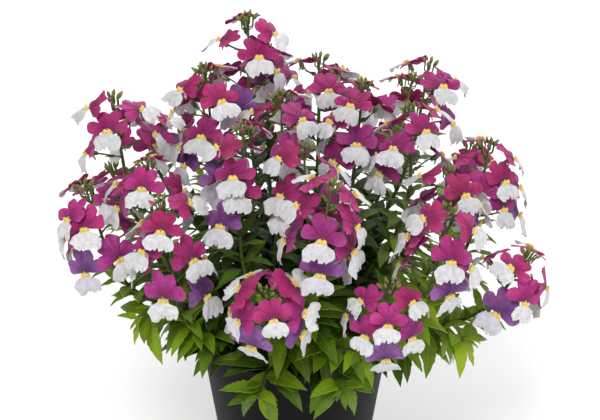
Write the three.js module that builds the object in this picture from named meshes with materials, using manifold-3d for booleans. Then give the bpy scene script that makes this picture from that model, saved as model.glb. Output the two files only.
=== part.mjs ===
// A potted nemesia: a nursery pot filled with soil, leafy stems that stand in holes in the soil,
// leafy shoots that arch over the rim, and a flower head on each stalk.
// Units are millimetres and +Z is up. The origin is the centre of the pot's base, and -Y is the front.
import * as THREE from 'three';
import { mergeVertices } from 'three/addons/utils/BufferGeometryUtils.js';
import Module from 'manifold-3d';

const wasm = await Module();
wasm.setup();

// Pot
const RIM_RADIUS = 60;
const POT_HEIGHT = 105;
const COLLAR_HEIGHT = 15;
const COLLAR_TAPER = 2.1;
const COLLAR_STEP = 3.4;
const BASE_RADIUS = 41;
const WALL = 1.8;
const POT_SIDES = 24;
const DRAIN_COUNT = 4;
const DRAIN_RADIUS = 4.5;
const DRAIN_CIRCLE = 27;
const DRAIN_SIDES = 6;

// Soil
const GAP = 0.3;
const SOIL_EDGE = 90;
const SOIL_CROWN = 94;
const ROOT_DEPTH = 12;
const SOIL_SIDES = 12;

// Stems
const STALK_RADIUS = 1.6;
const TWIG_RADIUS = 1.4;
const STALK_SIDES = 3;
const TRUNK_NODES = 6;
const TWIG_NODES = 4;
const ROOT_SPREAD = 0.29;
const ROOT_LIMIT = 44;
const FORK_NODE = 2;
const LEAFY_NODES = [3, 1];
const SHOOT_RISE = 34;
const SHOOT_DROOP = -20;

// Leaves
const LEAF_LENGTH = 40;
const LEAF_WIDTH = 0.34;
const LEAF_THICK = 1.1;
const LEAF_START = 0.5;
const LARGE_LEAF = 33;
const TOOTHED_EDGE = [
  [0.3, 0.9],
  [0.37, 0.76],
  [0.6, 1.0],
  [0.66, 0.74],
];
const SMALL_EDGE = [
  [0.34, 0.9],
  [0.66, 0.72],
];

// Flower heads
const NECK = 9;
const RACHIS_RADIUS = 1.7;
const RACHIS_SIDES = 3;
const BUD_RISE = 6;
const BUD_SPREAD = 4.2;
const BUD_DIP = 1;

// Blooms: a half outline of polar points, [degrees from the upper side, radius, lift towards the front]
const THROAT_LIFT = 1.3;
const THROAT_BACK = 0.9;
const NECK_RADIUS = 1.3;
const PEDICEL_START = 0.3;
const BLOOM_HALF = [
  [0, 8.8, -1.6],
  [15, 12.4, -3.2],
  [36, 12.2, -2.4],
  [49, 8.6, -0.4],
  [74, 12.0, -1.0],
  [105, 5.4, 1.0],
  [128, 11.0, 4.2],
  [157, 11.4, 6.2],
  [180, 9.6, 5.6],
];

// Clear space that is kept between one node and the next
const CLEARANCE = 4.1;
const STALK_CLEARANCE = 4.5;
const OWN_CLEARANCES = [2.6, 1.8, 1.2, 0.7];

// Flower heads, front ones first: the tip, the way the stalk leans at its end (x, y for 1 up), the length
// that bears blooms, and the compass angle that each bloom faces, from the tip down.
// 0 faces the front, 90 the right-hand side (+X). Where they are given, reach widens a head downwards and
// bloom makes its flowers smaller.
const HEADS = [
  {
    tip: [-15, -120, 190], lean: [-0.1, -0.85], length: 25, reach: 1.15, bloom: 0.95,
    faces: [15, -115, 125, -55, 75, -160, 170, -95, 45, -15],
  },
  {
    tip: [50, -103, 184], lean: [0.1, -0.3], length: 28, reach: 1.1, bloom: 0.87,
    faces: [60, -75, 0, 105, -30, 45, -100, 5],
  },
  {
    tip: [19, -98, 240], lean: [0.17, -0.1], length: 44,
    faces: [-130, 120, -75, 75, 0, 180, 50, -95, -20, 100],
  },
  {
    tip: [80, -88, 221], lean: [0.15, -0.1], length: 38,
    faces: [-60, 75, 140, -95, 20, -35, 65, -80, 10, 110],
  },
  {
    tip: [-70, -68, 216], lean: [-0.1, -0.05], length: 52,
    faces: [100, -10, -120, -40, 40, -85, 115, -15, 60],
  },
  { tip: [5, -62, 245], lean: [-0.05, -0.1], length: 36, faces: [-10, -110, 100, -40, 65, 10, -90] },
  {
    tip: [-27, -52, 252], lean: [0.05, 0.05], length: 50,
    faces: [150, -60, 120, -25, 35, -130, 90, -30, 15],
  },
  { tip: [82, -52, 227], lean: [0, 0], length: 26, faces: [-85, 5, 130, 50, -150, 85] },
  { tip: [-80, -40, 226], lean: [-0.05, 0], length: 24, faces: [170, 20, -100, 100, -20, 65] },
  {
    tip: [-115, -35, 210], lean: [-0.25, -0.05], length: 40, reach: 1.15,
    faces: [-140, 130, -50, 5, 75, -70, 40, -100, 25, -35],
  },
  {
    tip: [130, -48, 174], lean: [0.6, -0.1], length: 24, reach: 1.15,
    faces: [170, -45, 80, 25, -120, 75, -20],
  },
  { tip: [64, -30, 254], lean: [0, 0.05], length: 34, faces: [110, 40, -135, -5, -75, 75, -30, 20] },
  {
    tip: [38, -12, 261], lean: [0.1, 0.1], length: 42,
    faces: [180, -20, 80, -65, 35, -85, 0, 100],
  },
  { tip: [-7, -15, 255], lean: [0, 0.1], length: 30, faces: [150, -80, 40, -25, 100, 0] },
  {
    tip: [-101, -5, 250], lean: [-0.12, 0.05], length: 40, reach: 1.15,
    faces: [-80, 85, -15, 160, 55, -75, 0, 110, -50],
  },
  {
    tip: [109, -8, 223], lean: [0.12, 0.05], length: 36, reach: 1.3,
    faces: [-170, 100, -80, 45, -15, 85, 25, 95, -50, 60],
  },
  {
    tip: [-49, -5, 267], lean: [-0.08, 0.1], length: 54,
    faces: [150, -70, 35, -140, 60, -15, -95, 10, -60, 30],
  },
  {
    tip: [75, 8, 265], lean: [0.16, 0.15], length: 30, reach: 1.15,
    faces: [-120, 95, 25, 150, -15, -60, 75, 40],
  },
  { tip: [14, 28, 260], lean: [0, 0.15], length: 28, faces: [-120, 120, 5, 75, -70, -25] },
  {
    tip: [-26, 25, 286], lean: [0, 0.05], length: 44, reach: 1.1,
    faces: [-160, 75, -95, 5, 115, -50, 55, -120, 150, -20],
  },
  { tip: [-92, 52, 217], lean: [-0.3, 0.2], length: 20, faces: [-170, 100, -60, 20, 160] },
  { tip: [-58, 86, 222], lean: [-0.2, 0.35], length: 20, faces: [180, 60, -60, 120, -120] },
  { tip: [-18, 80, 246], lean: [-0.05, 0.3], length: 20, faces: [150, -100, 60, -150] },
  { tip: [28, 94, 226], lean: [0.1, 0.35], length: 20, faces: [-160, 120, -70, 50, 170] },
  { tip: [70, 64, 234], lean: [0.25, 0.25], length: 20, faces: [-150, 100, 160, -80] },
  { tip: [106, 48, 196], lean: [0.45, 0.25], length: 20, faces: [60, 160, -20, 110] },
  { tip: [-8, 124, 192], lean: [0, 0.6], length: 20, faces: [180, 70, -70, 130, -130] },
  { tip: [64, 114, 184], lean: [0.3, 0.55], length: 18, faces: [170, 90, -140, 130] },
  { tip: [-66, 118, 176], lean: [-0.3, 0.55], length: 18, faces: [-170, -90, 140, 90] },
  { tip: [-112, 72, 172], lean: [-0.5, 0.35], length: 18, faces: [-90, 160, -20, -150] },
];

// Leafy stems: the heads that each one bears, the main one first, counted as in HEADS
const STEMS = [
  { heads: [0, 1] },
  { heads: [2, 5] },
  { heads: [3, 7] },
  { heads: [4, 8] },
  { heads: [6, 13] },
  { heads: [9, 14] },
  { heads: [10, 15] },
  { heads: [11, 12] },
  { heads: [16, 20] },
  { heads: [17, 24] },
  { heads: [18, 23] },
  { heads: [19, 22] },
  { heads: [21, 28] },
  { heads: [26, 27] },
  { heads: [25] },
  { heads: [29] },
];

// Leafy shoots without flowers: compass angle, how far out the tip lies, the height of the tip
const SHOOTS = [
  { angle: -14, out: 84, tip: 104 },
  { angle: -62, out: 100, tip: 134 },
  { angle: 58, out: 112, tip: 128 },
  { angle: 19, out: 82, tip: 106 },
  { angle: 128, out: 86, tip: 112 },
  { angle: 180, out: 84, tip: 108 },
  { angle: -123, out: 86, tip: 112 },
];

// A repeatable stream of numbers from 0 to 1.
function stream(seed) {
  let state = seed * 7919 + 17;
  return () => {
    state = (state * 16807) % 2147483647;
    return state / 2147483647;
  };
}

const UP = new THREE.Vector3(0, 0, 1);
const vec = (list) => new THREE.Vector3(...list);
const step = (from, direction, distance) => from.clone().addScaledVector(direction, distance);
const turnTo = (a, b, degrees) => {
  const angle = THREE.MathUtils.degToRad(degrees);
  return a.clone().multiplyScalar(Math.cos(angle)).addScaledVector(b, Math.sin(angle));
};

// The part of a direction that is square to an axis.
const squareTo = (axis, direction) => step(direction, axis, -direction.dot(axis)).normalize();

// The level direction of a compass angle.
function compass(degrees) {
  const angle = THREE.MathUtils.degToRad(degrees);
  return new THREE.Vector3(Math.sin(angle), -Math.cos(angle), 0);
}

// Space already taken, kept as points in cubes of one clearance, so that no piece grows through another.
class Room {
  constructor(size) {
    this.size = size;
    this.cells = new Map();
  }

  key(x, y, z) {
    return `${x},${y},${z}`;
  }

  cell(point) {
    return [point.x, point.y, point.z].map((value) => Math.floor(value / this.size));
  }

  claim(points, owner) {
    for (const point of points) {
      const key = this.key(...this.cell(point));
      if (!this.cells.has(key)) this.cells.set(key, []);
      this.cells.get(key).push({ point, owner });
    }
  }

  isClear(points, owner, distance) {
    for (const point of points) {
      const [x, y, z] = this.cell(point);
      for (let i = x - 1; i <= x + 1; i += 1) {
        for (let j = y - 1; j <= y + 1; j += 1) {
          for (let k = z - 1; k <= z + 1; k += 1) {
            for (const taken of this.cells.get(this.key(i, j, k)) ?? []) {
              if (taken.owner !== owner && taken.point.distanceTo(point) < distance) return false;
            }
          }
        }
      }
    }
    return true;
  }
}
const room = new Room(STALK_CLEARANCE);

// A closed solid from points and faces.
function solid(points, faces) {
  const geometry = new THREE.BufferGeometry();
  const numbers = points.flatMap((point) => point.toArray());
  geometry.setAttribute('position', new THREE.Float32BufferAttribute(numbers, 3));
  geometry.setIndex(faces.flat());
  return toManifold(geometry);
}

function toManifold(geometry) {
  const bare = geometry.clone();
  bare.deleteAttribute('normal');
  bare.deleteAttribute('uv');
  const merged = mergeVertices(bare, 1e-4);
  return new wasm.Manifold(new wasm.Mesh({
    numProp: 3,
    vertProperties: new Float32Array(merged.attributes.position.array),
    triVerts: new Uint32Array(merged.index.array),
  }));
}

function toGeometry(body) {
  const mesh = body.getMesh();
  const geometry = new THREE.BufferGeometry();
  geometry.setAttribute('position', new THREE.BufferAttribute(mesh.vertProperties, 3));
  geometry.setIndex(new THREE.BufferAttribute(mesh.triVerts, 1));
  geometry.computeVertexNormals();
  return geometry;
}

// A straight or curved tube along a path.
function tube(path, radius, sides, steps) {
  const section = new THREE.Shape();
  for (let i = 0; i < sides; i += 1) {
    const angle = (2 * Math.PI * i) / sides;
    const x = radius * Math.cos(angle);
    const y = radius * Math.sin(angle);
    if (i === 0) section.moveTo(x, y);
    else section.lineTo(x, y);
  }
  section.closePath();
  return toManifold(new THREE.ExtrudeGeometry(section, { steps, extrudePath: path, curveSegments: 1 }));
}

// Where a head's rachis starts and which way it points.
function headAxis(head) {
  const axis = new THREE.Vector3(head.lean[0], head.lean[1], 1).normalize();
  const tip = vec(head.tip);
  return { axis, tip, base: step(tip, axis, -head.length - NECK) };
}

// A stalk is a smooth curve between two places, leaving and arriving in given directions.
// A bow pushes its lower half sideways.
function stalk(start, startWay, end, endWay, bow) {
  const span = start.distanceTo(end);
  const sideways = end.clone().sub(start).cross(UP).setLength(bow);
  return new THREE.CubicBezierCurve3(
    start,
    step(start, startWay, span * 0.42).add(sideways),
    step(end, endWay, -span * 0.36),
    end,
  );
}

// Points every 3 mm or so along the straight pieces between a curve's nodes, without the first ones.
function pointsAlong(curve, nodes, skip) {
  const knots = curve.getSpacedPoints(nodes);
  const points = [];
  for (let i = 0; i < nodes; i += 1) {
    const count = Math.ceil(knots[i].distanceTo(knots[i + 1]) / 3);
    for (let k = 0; k <= count; k += 1) points.push(knots[i].clone().lerp(knots[i + 1], k / count));
  }
  return points.slice(skip);
}

// Stalks are laid first: each main one rises from its hole in the soil, and the second one forks from it.
// Each takes the smallest bow that keeps it clear of those before it.
const ROOT_Z = SOIL_EDGE - ROOT_DEPTH;
const BOWS = [0, 10, -10, 20, -20, 30, -30, 42, -42, 55, -55];
function firstStalk(makeCurve, nodes, owner) {
  const curves = BOWS.map(makeCurve);
  const fits = (curve) => room.isClear(pointsAlong(curve, nodes, 0), owner, STALK_CLEARANCE);
  const curve = curves.find(fits) ?? curves[0];
  room.claim(pointsAlong(curve, nodes, 0), owner);
  return curve;
}

function layStem(stem, number) {
  const owner = `stem ${number}`;
  const [main, second] = stem.heads.map((index) => headAxis(HEADS[index]));
  const root = new THREE.Vector3(main.base.x, main.base.y, 0).multiplyScalar(ROOT_SPREAD);
  if (second) root.lerp(new THREE.Vector3(second.base.x, second.base.y, 0).multiplyScalar(ROOT_SPREAD), 0.4);
  root.clampLength(0, ROOT_LIMIT).setZ(ROOT_Z);
  const top = step(main.base, main.axis, -GAP);
  const trunk = firstStalk((bow) => stalk(root, UP, top, main.axis, bow), TRUNK_NODES, owner);
  if (!second) return { ...stem, curves: [trunk] };
  const share = FORK_NODE / TRUNK_NODES;
  const fork = trunk.getPointAt(share);
  const end = step(second.base, second.axis, -GAP);
  const way = trunk.getTangentAt(share).add(end.clone().sub(fork).normalize()).normalize();
  const twig = firstStalk((bow) => stalk(fork, way, end, second.axis, bow), TWIG_NODES, owner);
  return { ...stem, curves: [trunk, twig] };
}

function layShoot(shoot, number) {
  const way = compass(shoot.angle);
  const root = way.clone().multiplyScalar(ROOT_LIMIT - 3).setZ(ROOT_Z);
  const end = way.clone().multiplyScalar(shoot.out).setZ(shoot.tip);
  const arch = (bow) => new THREE.CubicBezierCurve3(
    root,
    step(root, UP, SHOOT_RISE),
    step(end, turnTo(way, UP, SHOOT_DROOP), -SHOOT_RISE).addScaledVector(UP.clone().cross(way), bow),
    end,
  );
  return { ...shoot, curves: [firstStalk(arch, TRUNK_NODES, `shoot ${number}`)] };
}

// One bloom: its face looks along `front`, its upper lip points along `up`.
function bloomPoints(bloom) {
  const side = bloom.up.clone().cross(bloom.front);
  const outline = [];
  const place = (degrees, radius, lift) => {
    const angle = THREE.MathUtils.degToRad(degrees);
    const point = step(bloom.at, bloom.up, radius * Math.cos(angle) * bloom.size);
    point.addScaledVector(side, radius * Math.sin(angle) * bloom.size);
    outline.push(point.addScaledVector(bloom.front, lift * bloom.size));
  };
  for (const [degrees, radius, lift] of BLOOM_HALF) place(degrees, radius, lift);
  for (const [degrees, radius, lift] of BLOOM_HALF.slice(1, -1).reverse()) place(-degrees, radius, lift);
  return { side, outline };
}

function bloomSamples(bloom) {
  const { outline } = bloomPoints(bloom);
  const centre = step(bloom.at, bloom.front, THROAT_LIFT);
  const samples = [centre];
  for (const point of outline) {
    for (const share of [0.38, 0.7, 1]) samples.push(centre.clone().lerp(point, share));
  }
  for (const share of [0.2, 0.45]) samples.push(bloom.at.clone().lerp(bloom.root, share));
  return samples;
}

function bloomAt(head, axis, tip, index, turn, drop) {
  const share = index / (head.faces.length - 1);
  const down = 1.5 + share * head.length + drop;
  const out = squareTo(axis, compass(head.faces[index] + turn));
  const spread = (12.5 + 4 * Math.min(1, 2.2 * share)) * (1 + ((head.reach ?? 1) - 1) * share);
  const front = turnTo(axis, out, 44 + 44 * share);
  const at = step(step(tip, axis, -down), out, spread);
  const foot = step(tip, axis, -Math.min(down + 7, head.length + NECK - 2.5));
  const root = step(foot, out, PEDICEL_START);
  return { at, root, front, up: squareTo(front, axis), size: (0.93 + 0.15 * share) * (head.bloom ?? 1) };
}

// Small turns and shifts that a bloom may take to stand clear of its neighbours
const SWAYS = [
  [0, 0], [14, 0], [-14, 0], [0, 3], [0, -3], [28, 0], [-28, 0], [14, 4], [-14, 4],
  [14, -4], [-14, -4], [42, 2], [-42, 2], [56, 0], [-56, 0], [0, 7], [0, -6],
];

function firstClear(choices, samplesOf, owner, own) {
  for (const between of OWN_CLEARANCES) {
    for (const choice of choices) {
      const samples = samplesOf(choice);
      if (!room.isClear(samples, owner, CLEARANCE)) continue;
      if (!own.isClear(samples, '', between)) continue;
      room.claim(samples, owner);
      own.claim(samples, owner);
      return choice;
    }
  }
  return null;
}

function layHead(head, number) {
  const { axis, tip, base } = headAxis(head);
  const owner = `head ${number}`;
  const random = stream(number);
  const own = new Room(CLEARANCE);
  room.claim(pointsAlong(new THREE.LineCurve3(base, tip), 1, 3), owner);
  const blooms = [];
  head.faces.forEach((_, index) => {
    const jitter = (random() - 0.5) * 10;
    const choices = SWAYS.map(([turn, drop]) => bloomAt(head, axis, tip, index, turn + jitter, drop));
    const bloom = firstClear(choices, bloomSamples, owner, own);
    if (bloom) blooms.push({ ...bloom, order: index });
  });
  return { ...head, axis, tip, base, blooms, number };
}

// Leaves stand in opposite pairs, each pair square to the one below it.
function leafFrame(at, way, spin, rise) {
  const level = UP.clone().cross(way);
  const side = level.length() > 0.05 ? level.normalize() : new THREE.Vector3(1, 0, 0);
  const upper = way.clone().cross(side);
  const out = turnTo(side, upper, spin);
  const along = turnTo(out, way, rise);
  const face = squareTo(along, step(UP, way, 0.5));
  return { at: step(at, out, LEAF_START), along, face, side: face.clone().cross(along) };
}

function leafPoint(leaf, share, across, thick) {
  const fall = leaf.droop * leaf.length * share * share;
  const fold = 0.22 * Math.abs(across);
  const point = step(leaf.at, leaf.along, leaf.length * share * (1 - 0.25 * leaf.droop * share));
  point.addScaledVector(leaf.side, across);
  return point.addScaledVector(leaf.face, fold + thick - fall);
}

function leafOutline(leaf) {
  const half = (leaf.length * LEAF_WIDTH) / 2;
  const edge = leaf.length > LARGE_LEAF ? TOOTHED_EDGE : SMALL_EDGE;
  const left = edge.map(([share, width]) => leafPoint(leaf, share, half * width, 0));
  const right = edge.map(([share, width]) => leafPoint(leaf, share, -half * width, 0));
  return [leafPoint(leaf, 0, 0, 0), ...left, leafPoint(leaf, 1, 0, 0), ...right.reverse()];
}

function leafSamples(leaf) {
  const samples = leafOutline(leaf).slice(1);
  for (const share of [0.25, 0.4, 0.55, 0.7, 0.8, 0.9]) samples.push(leafPoint(leaf, share, 0, 0));
  return samples;
}

const LEAF_SWAYS = [[0, 0], [18, 0], [-18, 0], [0, 22], [0, -22], [30, 20], [-30, 20], [40, -10], [-40, -10]];

// Leaves keep off the pot's collar and wall, and off the soil.
function outsidePot(point) {
  const radius = Math.hypot(point.x, point.y);
  if (point.z > POT_HEIGHT + 2.5) return true;
  if (radius < RIM_RADIUS - WALL - 3) return point.z > SOIL_CROWN + 3;
  return radius > RIM_RADIUS + 3.5;
}

function layLeaves(stem, number, owner) {
  const random = stream(100 + number);
  const own = new Room(CLEARANCE);
  const leaves = [];
  stem.curves.forEach((curve, branch) => {
    const nodes = branch === 0 ? TRUNK_NODES : TWIG_NODES;
    const knots = curve.getSpacedPoints(nodes);
    const last = stem.heads ? LEAFY_NODES[branch] : nodes - 1;
    for (let node = 1; node <= last; node += 1) {
      const share = (node + 0.5) / nodes;
      const at = knots[node].clone().lerp(knots[node + 1], 0.5);
      const way = knots[node + 1].clone().sub(knots[node]).normalize();
      const length = LEAF_LENGTH * (1.08 - 0.45 * share) * (0.9 + 0.2 * random());
      const spin = 45 + 90 * node + 24 * (random() - 0.5);
      const rise = 40 - 16 * share;
      const droop = 0.34 + 0.2 * random();
      for (const half of [0, 180]) {
        const choices = LEAF_SWAYS.map(([turn, lift]) => (
          { ...leafFrame(at, way, spin + half + turn, rise + lift), length, droop }
        ));
        const free = choices.filter((leaf) => leafSamples(leaf).every(outsidePot));
        const leaf = firstClear(free, leafSamples, owner, own);
        if (leaf) leaves.push(leaf);
      }
    }
  });
  return leaves;
}

// Solids
function bloomSolid(bloom) {
  const { side, outline } = bloomPoints(bloom);
  const count = outline.length;
  const points = [...outline, step(bloom.at, bloom.front, THROAT_LIFT)];
  const back = step(bloom.at, bloom.front, -THROAT_BACK);
  for (const degrees of [0, 120, 240]) points.push(step(back, turnTo(bloom.up, side, degrees), NECK_RADIUS));
  points.push(bloom.root);
  const faces = [];
  const neck = count + 1;
  const foot = count + 4;
  const nearest = (index) => neck + (Math.round((index * 3) / count) % 3);
  for (let i = 0; i < count; i += 1) {
    const next = (i + 1) % count;
    faces.push([next, i, count]);
    faces.push([i, next, nearest(i)]);
    if (nearest(i) !== nearest(next)) faces.push([next, nearest(next), nearest(i)]);
  }
  for (let i = 0; i < 3; i += 1) faces.push([neck + i, neck + ((i + 1) % 3), foot]);
  return solid(points, faces);
}

// The rachis, a slim stalk that ends in a crown of spread buds.
function rachisSolid(head) {
  const across = squareTo(head.axis, compass(head.number * 25));
  const other = head.axis.clone().cross(across);
  const count = RACHIS_SIDES;
  const ring = (centre, radius, shift) => {
    const points = [];
    for (let i = 0; i < count; i += 1) {
      points.push(step(centre, turnTo(across, other, ((i + shift) * 360) / count), radius));
    }
    return points;
  };
  const points = [
    ...ring(head.base, RACHIS_RADIUS, 0),
    ...ring(head.tip, RACHIS_RADIUS, 0),
    ...ring(step(head.tip, head.axis, BUD_RISE), BUD_SPREAD, 0.5),
    step(head.tip, head.axis, BUD_DIP),
  ];
  const dip = 3 * count;
  const faces = [[0, 2, 1]];
  for (let i = 0; i < count; i += 1) {
    const next = (i + 1) % count;
    const bud = 2 * count + i;
    faces.push([i, next, count + next], [i, count + next, count + i]);
    faces.push([count + i, count + next, bud], [count + next, dip, bud], [dip, count + i, bud]);
  }
  return solid(points, faces);
}

function leafSolid(leaf) {
  const outline = leafOutline(leaf);
  const count = outline.length;
  const points = [...outline];
  for (const thick of [LEAF_THICK / 2, -LEAF_THICK / 2]) points.push(leafPoint(leaf, 0.42, 0, thick));
  const faces = [];
  for (let i = 0; i < count; i += 1) {
    const next = (i + 1) % count;
    faces.push([next, i, count]);
    faces.push([i, next, count + 1]);
  }
  return solid(points, faces);
}

function headSolid(head) {
  return wasm.Manifold.union([rachisSolid(head), ...head.blooms.map(bloomSolid)]);
}

function stemTubes(stem, play) {
  return stem.curves.map((curve, branch) => (
    branch === 0
      ? tube(curve, STALK_RADIUS + play, STALK_SIDES, TRUNK_NODES)
      : tube(curve, TWIG_RADIUS + play, STALK_SIDES, TWIG_NODES)
  ));
}

function stemSolid(stem) {
  return wasm.Manifold.union([...stemTubes(stem, 0), ...stem.foliage.map(leafSolid)]);
}

function lathe(profile, sides) {
  const points = profile.map(([radius, height]) => new THREE.Vector2(radius, height));
  const geometry = new THREE.LatheGeometry(points, sides);
  geometry.rotateX(Math.PI / 2);
  return toManifold(geometry);
}

// The pot: a flat floor with drain holes, a tapered wall and a stepped collar.
const BODY_TOP = RIM_RADIUS - COLLAR_TAPER - COLLAR_STEP;
const COLLAR_Z = POT_HEIGHT - COLLAR_HEIGHT;
const INNER_TOP = RIM_RADIUS - WALL;
const LEDGE_INNER = BODY_TOP - WALL;
function potSolid() {
  const wall = lathe([
    [0, 0],
    [BASE_RADIUS, 0],
    [BODY_TOP, COLLAR_Z],
    [RIM_RADIUS - COLLAR_TAPER, COLLAR_Z],
    [RIM_RADIUS, POT_HEIGHT],
    [INNER_TOP, POT_HEIGHT],
    [INNER_TOP - COLLAR_TAPER, COLLAR_Z + WALL],
    [LEDGE_INNER, COLLAR_Z + WALL],
    [BASE_RADIUS - WALL, WALL],
    [0, WALL],
  ], POT_SIDES);
  let pot = wall;
  for (let i = 0; i < DRAIN_COUNT; i += 1) {
    const hole = new THREE.CylinderGeometry(DRAIN_RADIUS, DRAIN_RADIUS, 12, DRAIN_SIDES);
    hole.rotateX(Math.PI / 2);
    const centre = compass((i * 360) / DRAIN_COUNT).multiplyScalar(DRAIN_CIRCLE);
    hole.translate(centre.x, centre.y, 0);
    pot = pot.subtract(toManifold(hole));
  }
  return pot;
}

function soilSolid(stems) {
  const bottom = WALL + GAP;
  const play = GAP + RIM_RADIUS * (1 - Math.cos(Math.PI / POT_SIDES));
  const slope = (BODY_TOP - BASE_RADIUS) / COLLAR_Z;
  let soil = lathe([
    [0, bottom],
    [BASE_RADIUS - WALL - play, bottom],
    [BASE_RADIUS - WALL + slope * SOIL_EDGE - play, SOIL_EDGE],
    [0, SOIL_CROWN],
  ], SOIL_SIDES);
  for (const stem of stems) {
    const hole = stemTubes(stem, 2 * GAP)[0];
    soil = soil.subtract(hole);
  }
  return soil;
}

// Colours as the eye sees them on each piece
const POT_PLASTIC = new THREE.MeshStandardMaterial({ color: '#2c2c2f', roughness: 0.55, metalness: 0 });
const POTTING_SOIL = new THREE.MeshStandardMaterial({ color: '#3a2c22', roughness: 0.95, metalness: 0 });
const LEAF_GREEN = new THREE.MeshStandardMaterial({ color: '#5d7a1e', roughness: 0.6, metalness: 0 });
const PETAL_MAGENTA = new THREE.MeshStandardMaterial({ color: '#b0357c', roughness: 0.55, metalness: 0 });

const plant = new THREE.Group();
function addPiece(name, body, material) {
  const mesh = new THREE.Mesh(toGeometry(body), material);
  mesh.name = name;
  plant.add(mesh);
}
const label = (name, index) => `${name}_${String(index + 1).padStart(2, '0')}`;

const stems = STEMS.map(layStem);
const shoots = SHOOTS.map(layShoot);
const heads = HEADS.map(layHead);
for (const [index, shoot] of shoots.entries()) shoot.foliage = layLeaves(shoot, 50 + index, `shoot ${index}`);
for (const [index, stem] of stems.entries()) stem.foliage = layLeaves(stem, index, `stem ${index}`);

addPiece('pot', potSolid(), POT_PLASTIC);
addPiece('soil', soilSolid([...stems, ...shoots]), POTTING_SOIL);
stems.forEach((stem, index) => addPiece(label('leafy_stem', index), stemSolid(stem), LEAF_GREEN));
shoots.forEach((shoot, index) => addPiece(label('leafy_shoot', index), stemSolid(shoot), LEAF_GREEN));
heads.forEach((head, index) => addPiece(label('flower_head', index), headSolid(head), PETAL_MAGENTA));

export default plant;
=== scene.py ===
# %% [markdown]
# # A potted nemesia
# This lesson dresses the fixed frame of a potted nemesia: a black nursery pot full of soil, sixteen stems
# with toothed leaves, most of them forked, seven leafy shoots that arch over the rim, and thirty heads of
# two-lipped flowers, magenta above and white below. The frame's plain solids say where each piece stands.
# Here each one gets its fine form and its material, in metres, in the same place.

# %% Load the frame
import math

import bpy
import numpy as np
from mathutils import Matrix, Vector, noise


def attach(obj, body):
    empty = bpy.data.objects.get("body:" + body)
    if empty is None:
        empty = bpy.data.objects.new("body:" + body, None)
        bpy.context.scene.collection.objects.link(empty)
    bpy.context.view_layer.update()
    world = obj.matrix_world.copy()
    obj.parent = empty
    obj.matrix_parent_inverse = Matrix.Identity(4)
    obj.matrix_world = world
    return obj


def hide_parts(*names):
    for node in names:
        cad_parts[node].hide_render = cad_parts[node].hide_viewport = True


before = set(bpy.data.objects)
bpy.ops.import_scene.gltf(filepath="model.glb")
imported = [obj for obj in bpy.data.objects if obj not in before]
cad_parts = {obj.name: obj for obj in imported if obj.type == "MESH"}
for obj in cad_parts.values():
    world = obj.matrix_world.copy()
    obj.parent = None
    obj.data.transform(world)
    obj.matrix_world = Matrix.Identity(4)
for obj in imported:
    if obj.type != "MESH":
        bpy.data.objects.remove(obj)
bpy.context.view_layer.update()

MM = 0.001
bpy.ops.object.select_all(action="DESELECT")
print(len(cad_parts), "solids in the frame")

# %% [markdown]
# ## How the plant is laid out
# A nemesia is a bush of thin stems that fork low down, carry their leaves in opposite pairs, and end in
# a head of flowers each. The solids of the fixed frame were laid out by a few rules: a stalk is a smooth
# curve, a bloom faces a compass direction, and a leaf or bloom moves a little aside until nothing else is
# near it. The flowers could be placed again by eye, but then they would drift off the solids. So the same
# rules and the same given values are repeated here, in millimetres, and every petal and leaf that
# is modelled below lands where its plain solid stands.

# %% Sizes of the plant, in millimetres
RIM_RADIUS, POT_HEIGHT, WALL = 60.0, 105.0, 1.8
GAP = 0.3
SOIL_EDGE, SOIL_CROWN, ROOT_DEPTH = 90.0, 94.0, 12.0
TRUNK_NODES, TWIG_NODES, FORK_NODE = 6, 4, 2
LEAFY_NODES = (3, 1)
ROOT_SPREAD, ROOT_LIMIT = 0.29, 44.0
SHOOT_RISE, SHOOT_DROOP = 34.0, -20.0
LEAF_LENGTH, LEAF_WIDTH, LEAF_START, LARGE_LEAF = 40.0, 0.34, 0.5, 33.0
TOOTHED_EDGE = ((0.3, 0.9), (0.37, 0.76), (0.6, 1.0), (0.66, 0.74))
SMALL_EDGE = ((0.34, 0.9), (0.66, 0.72))
NECK = 9.0
THROAT_LIFT, PEDICEL_START = 1.3, 0.3
BLOOM_HALF = (
    (0, 8.8, -1.6), (15, 12.4, -3.2), (36, 12.2, -2.4), (49, 8.6, -0.4), (74, 12.0, -1.0),
    (105, 5.4, 1.0), (128, 11.0, 4.2), (157, 11.4, 6.2), (180, 9.6, 5.6),
)
CLEARANCE, STALK_CLEARANCE = 4.1, 4.5
OWN_CLEARANCES = (2.6, 1.8, 1.2, 0.7)
BLOOM_SIZES = {0: 0.95, 1: 0.87}  # The two foremost heads have somewhat smaller blooms

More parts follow.
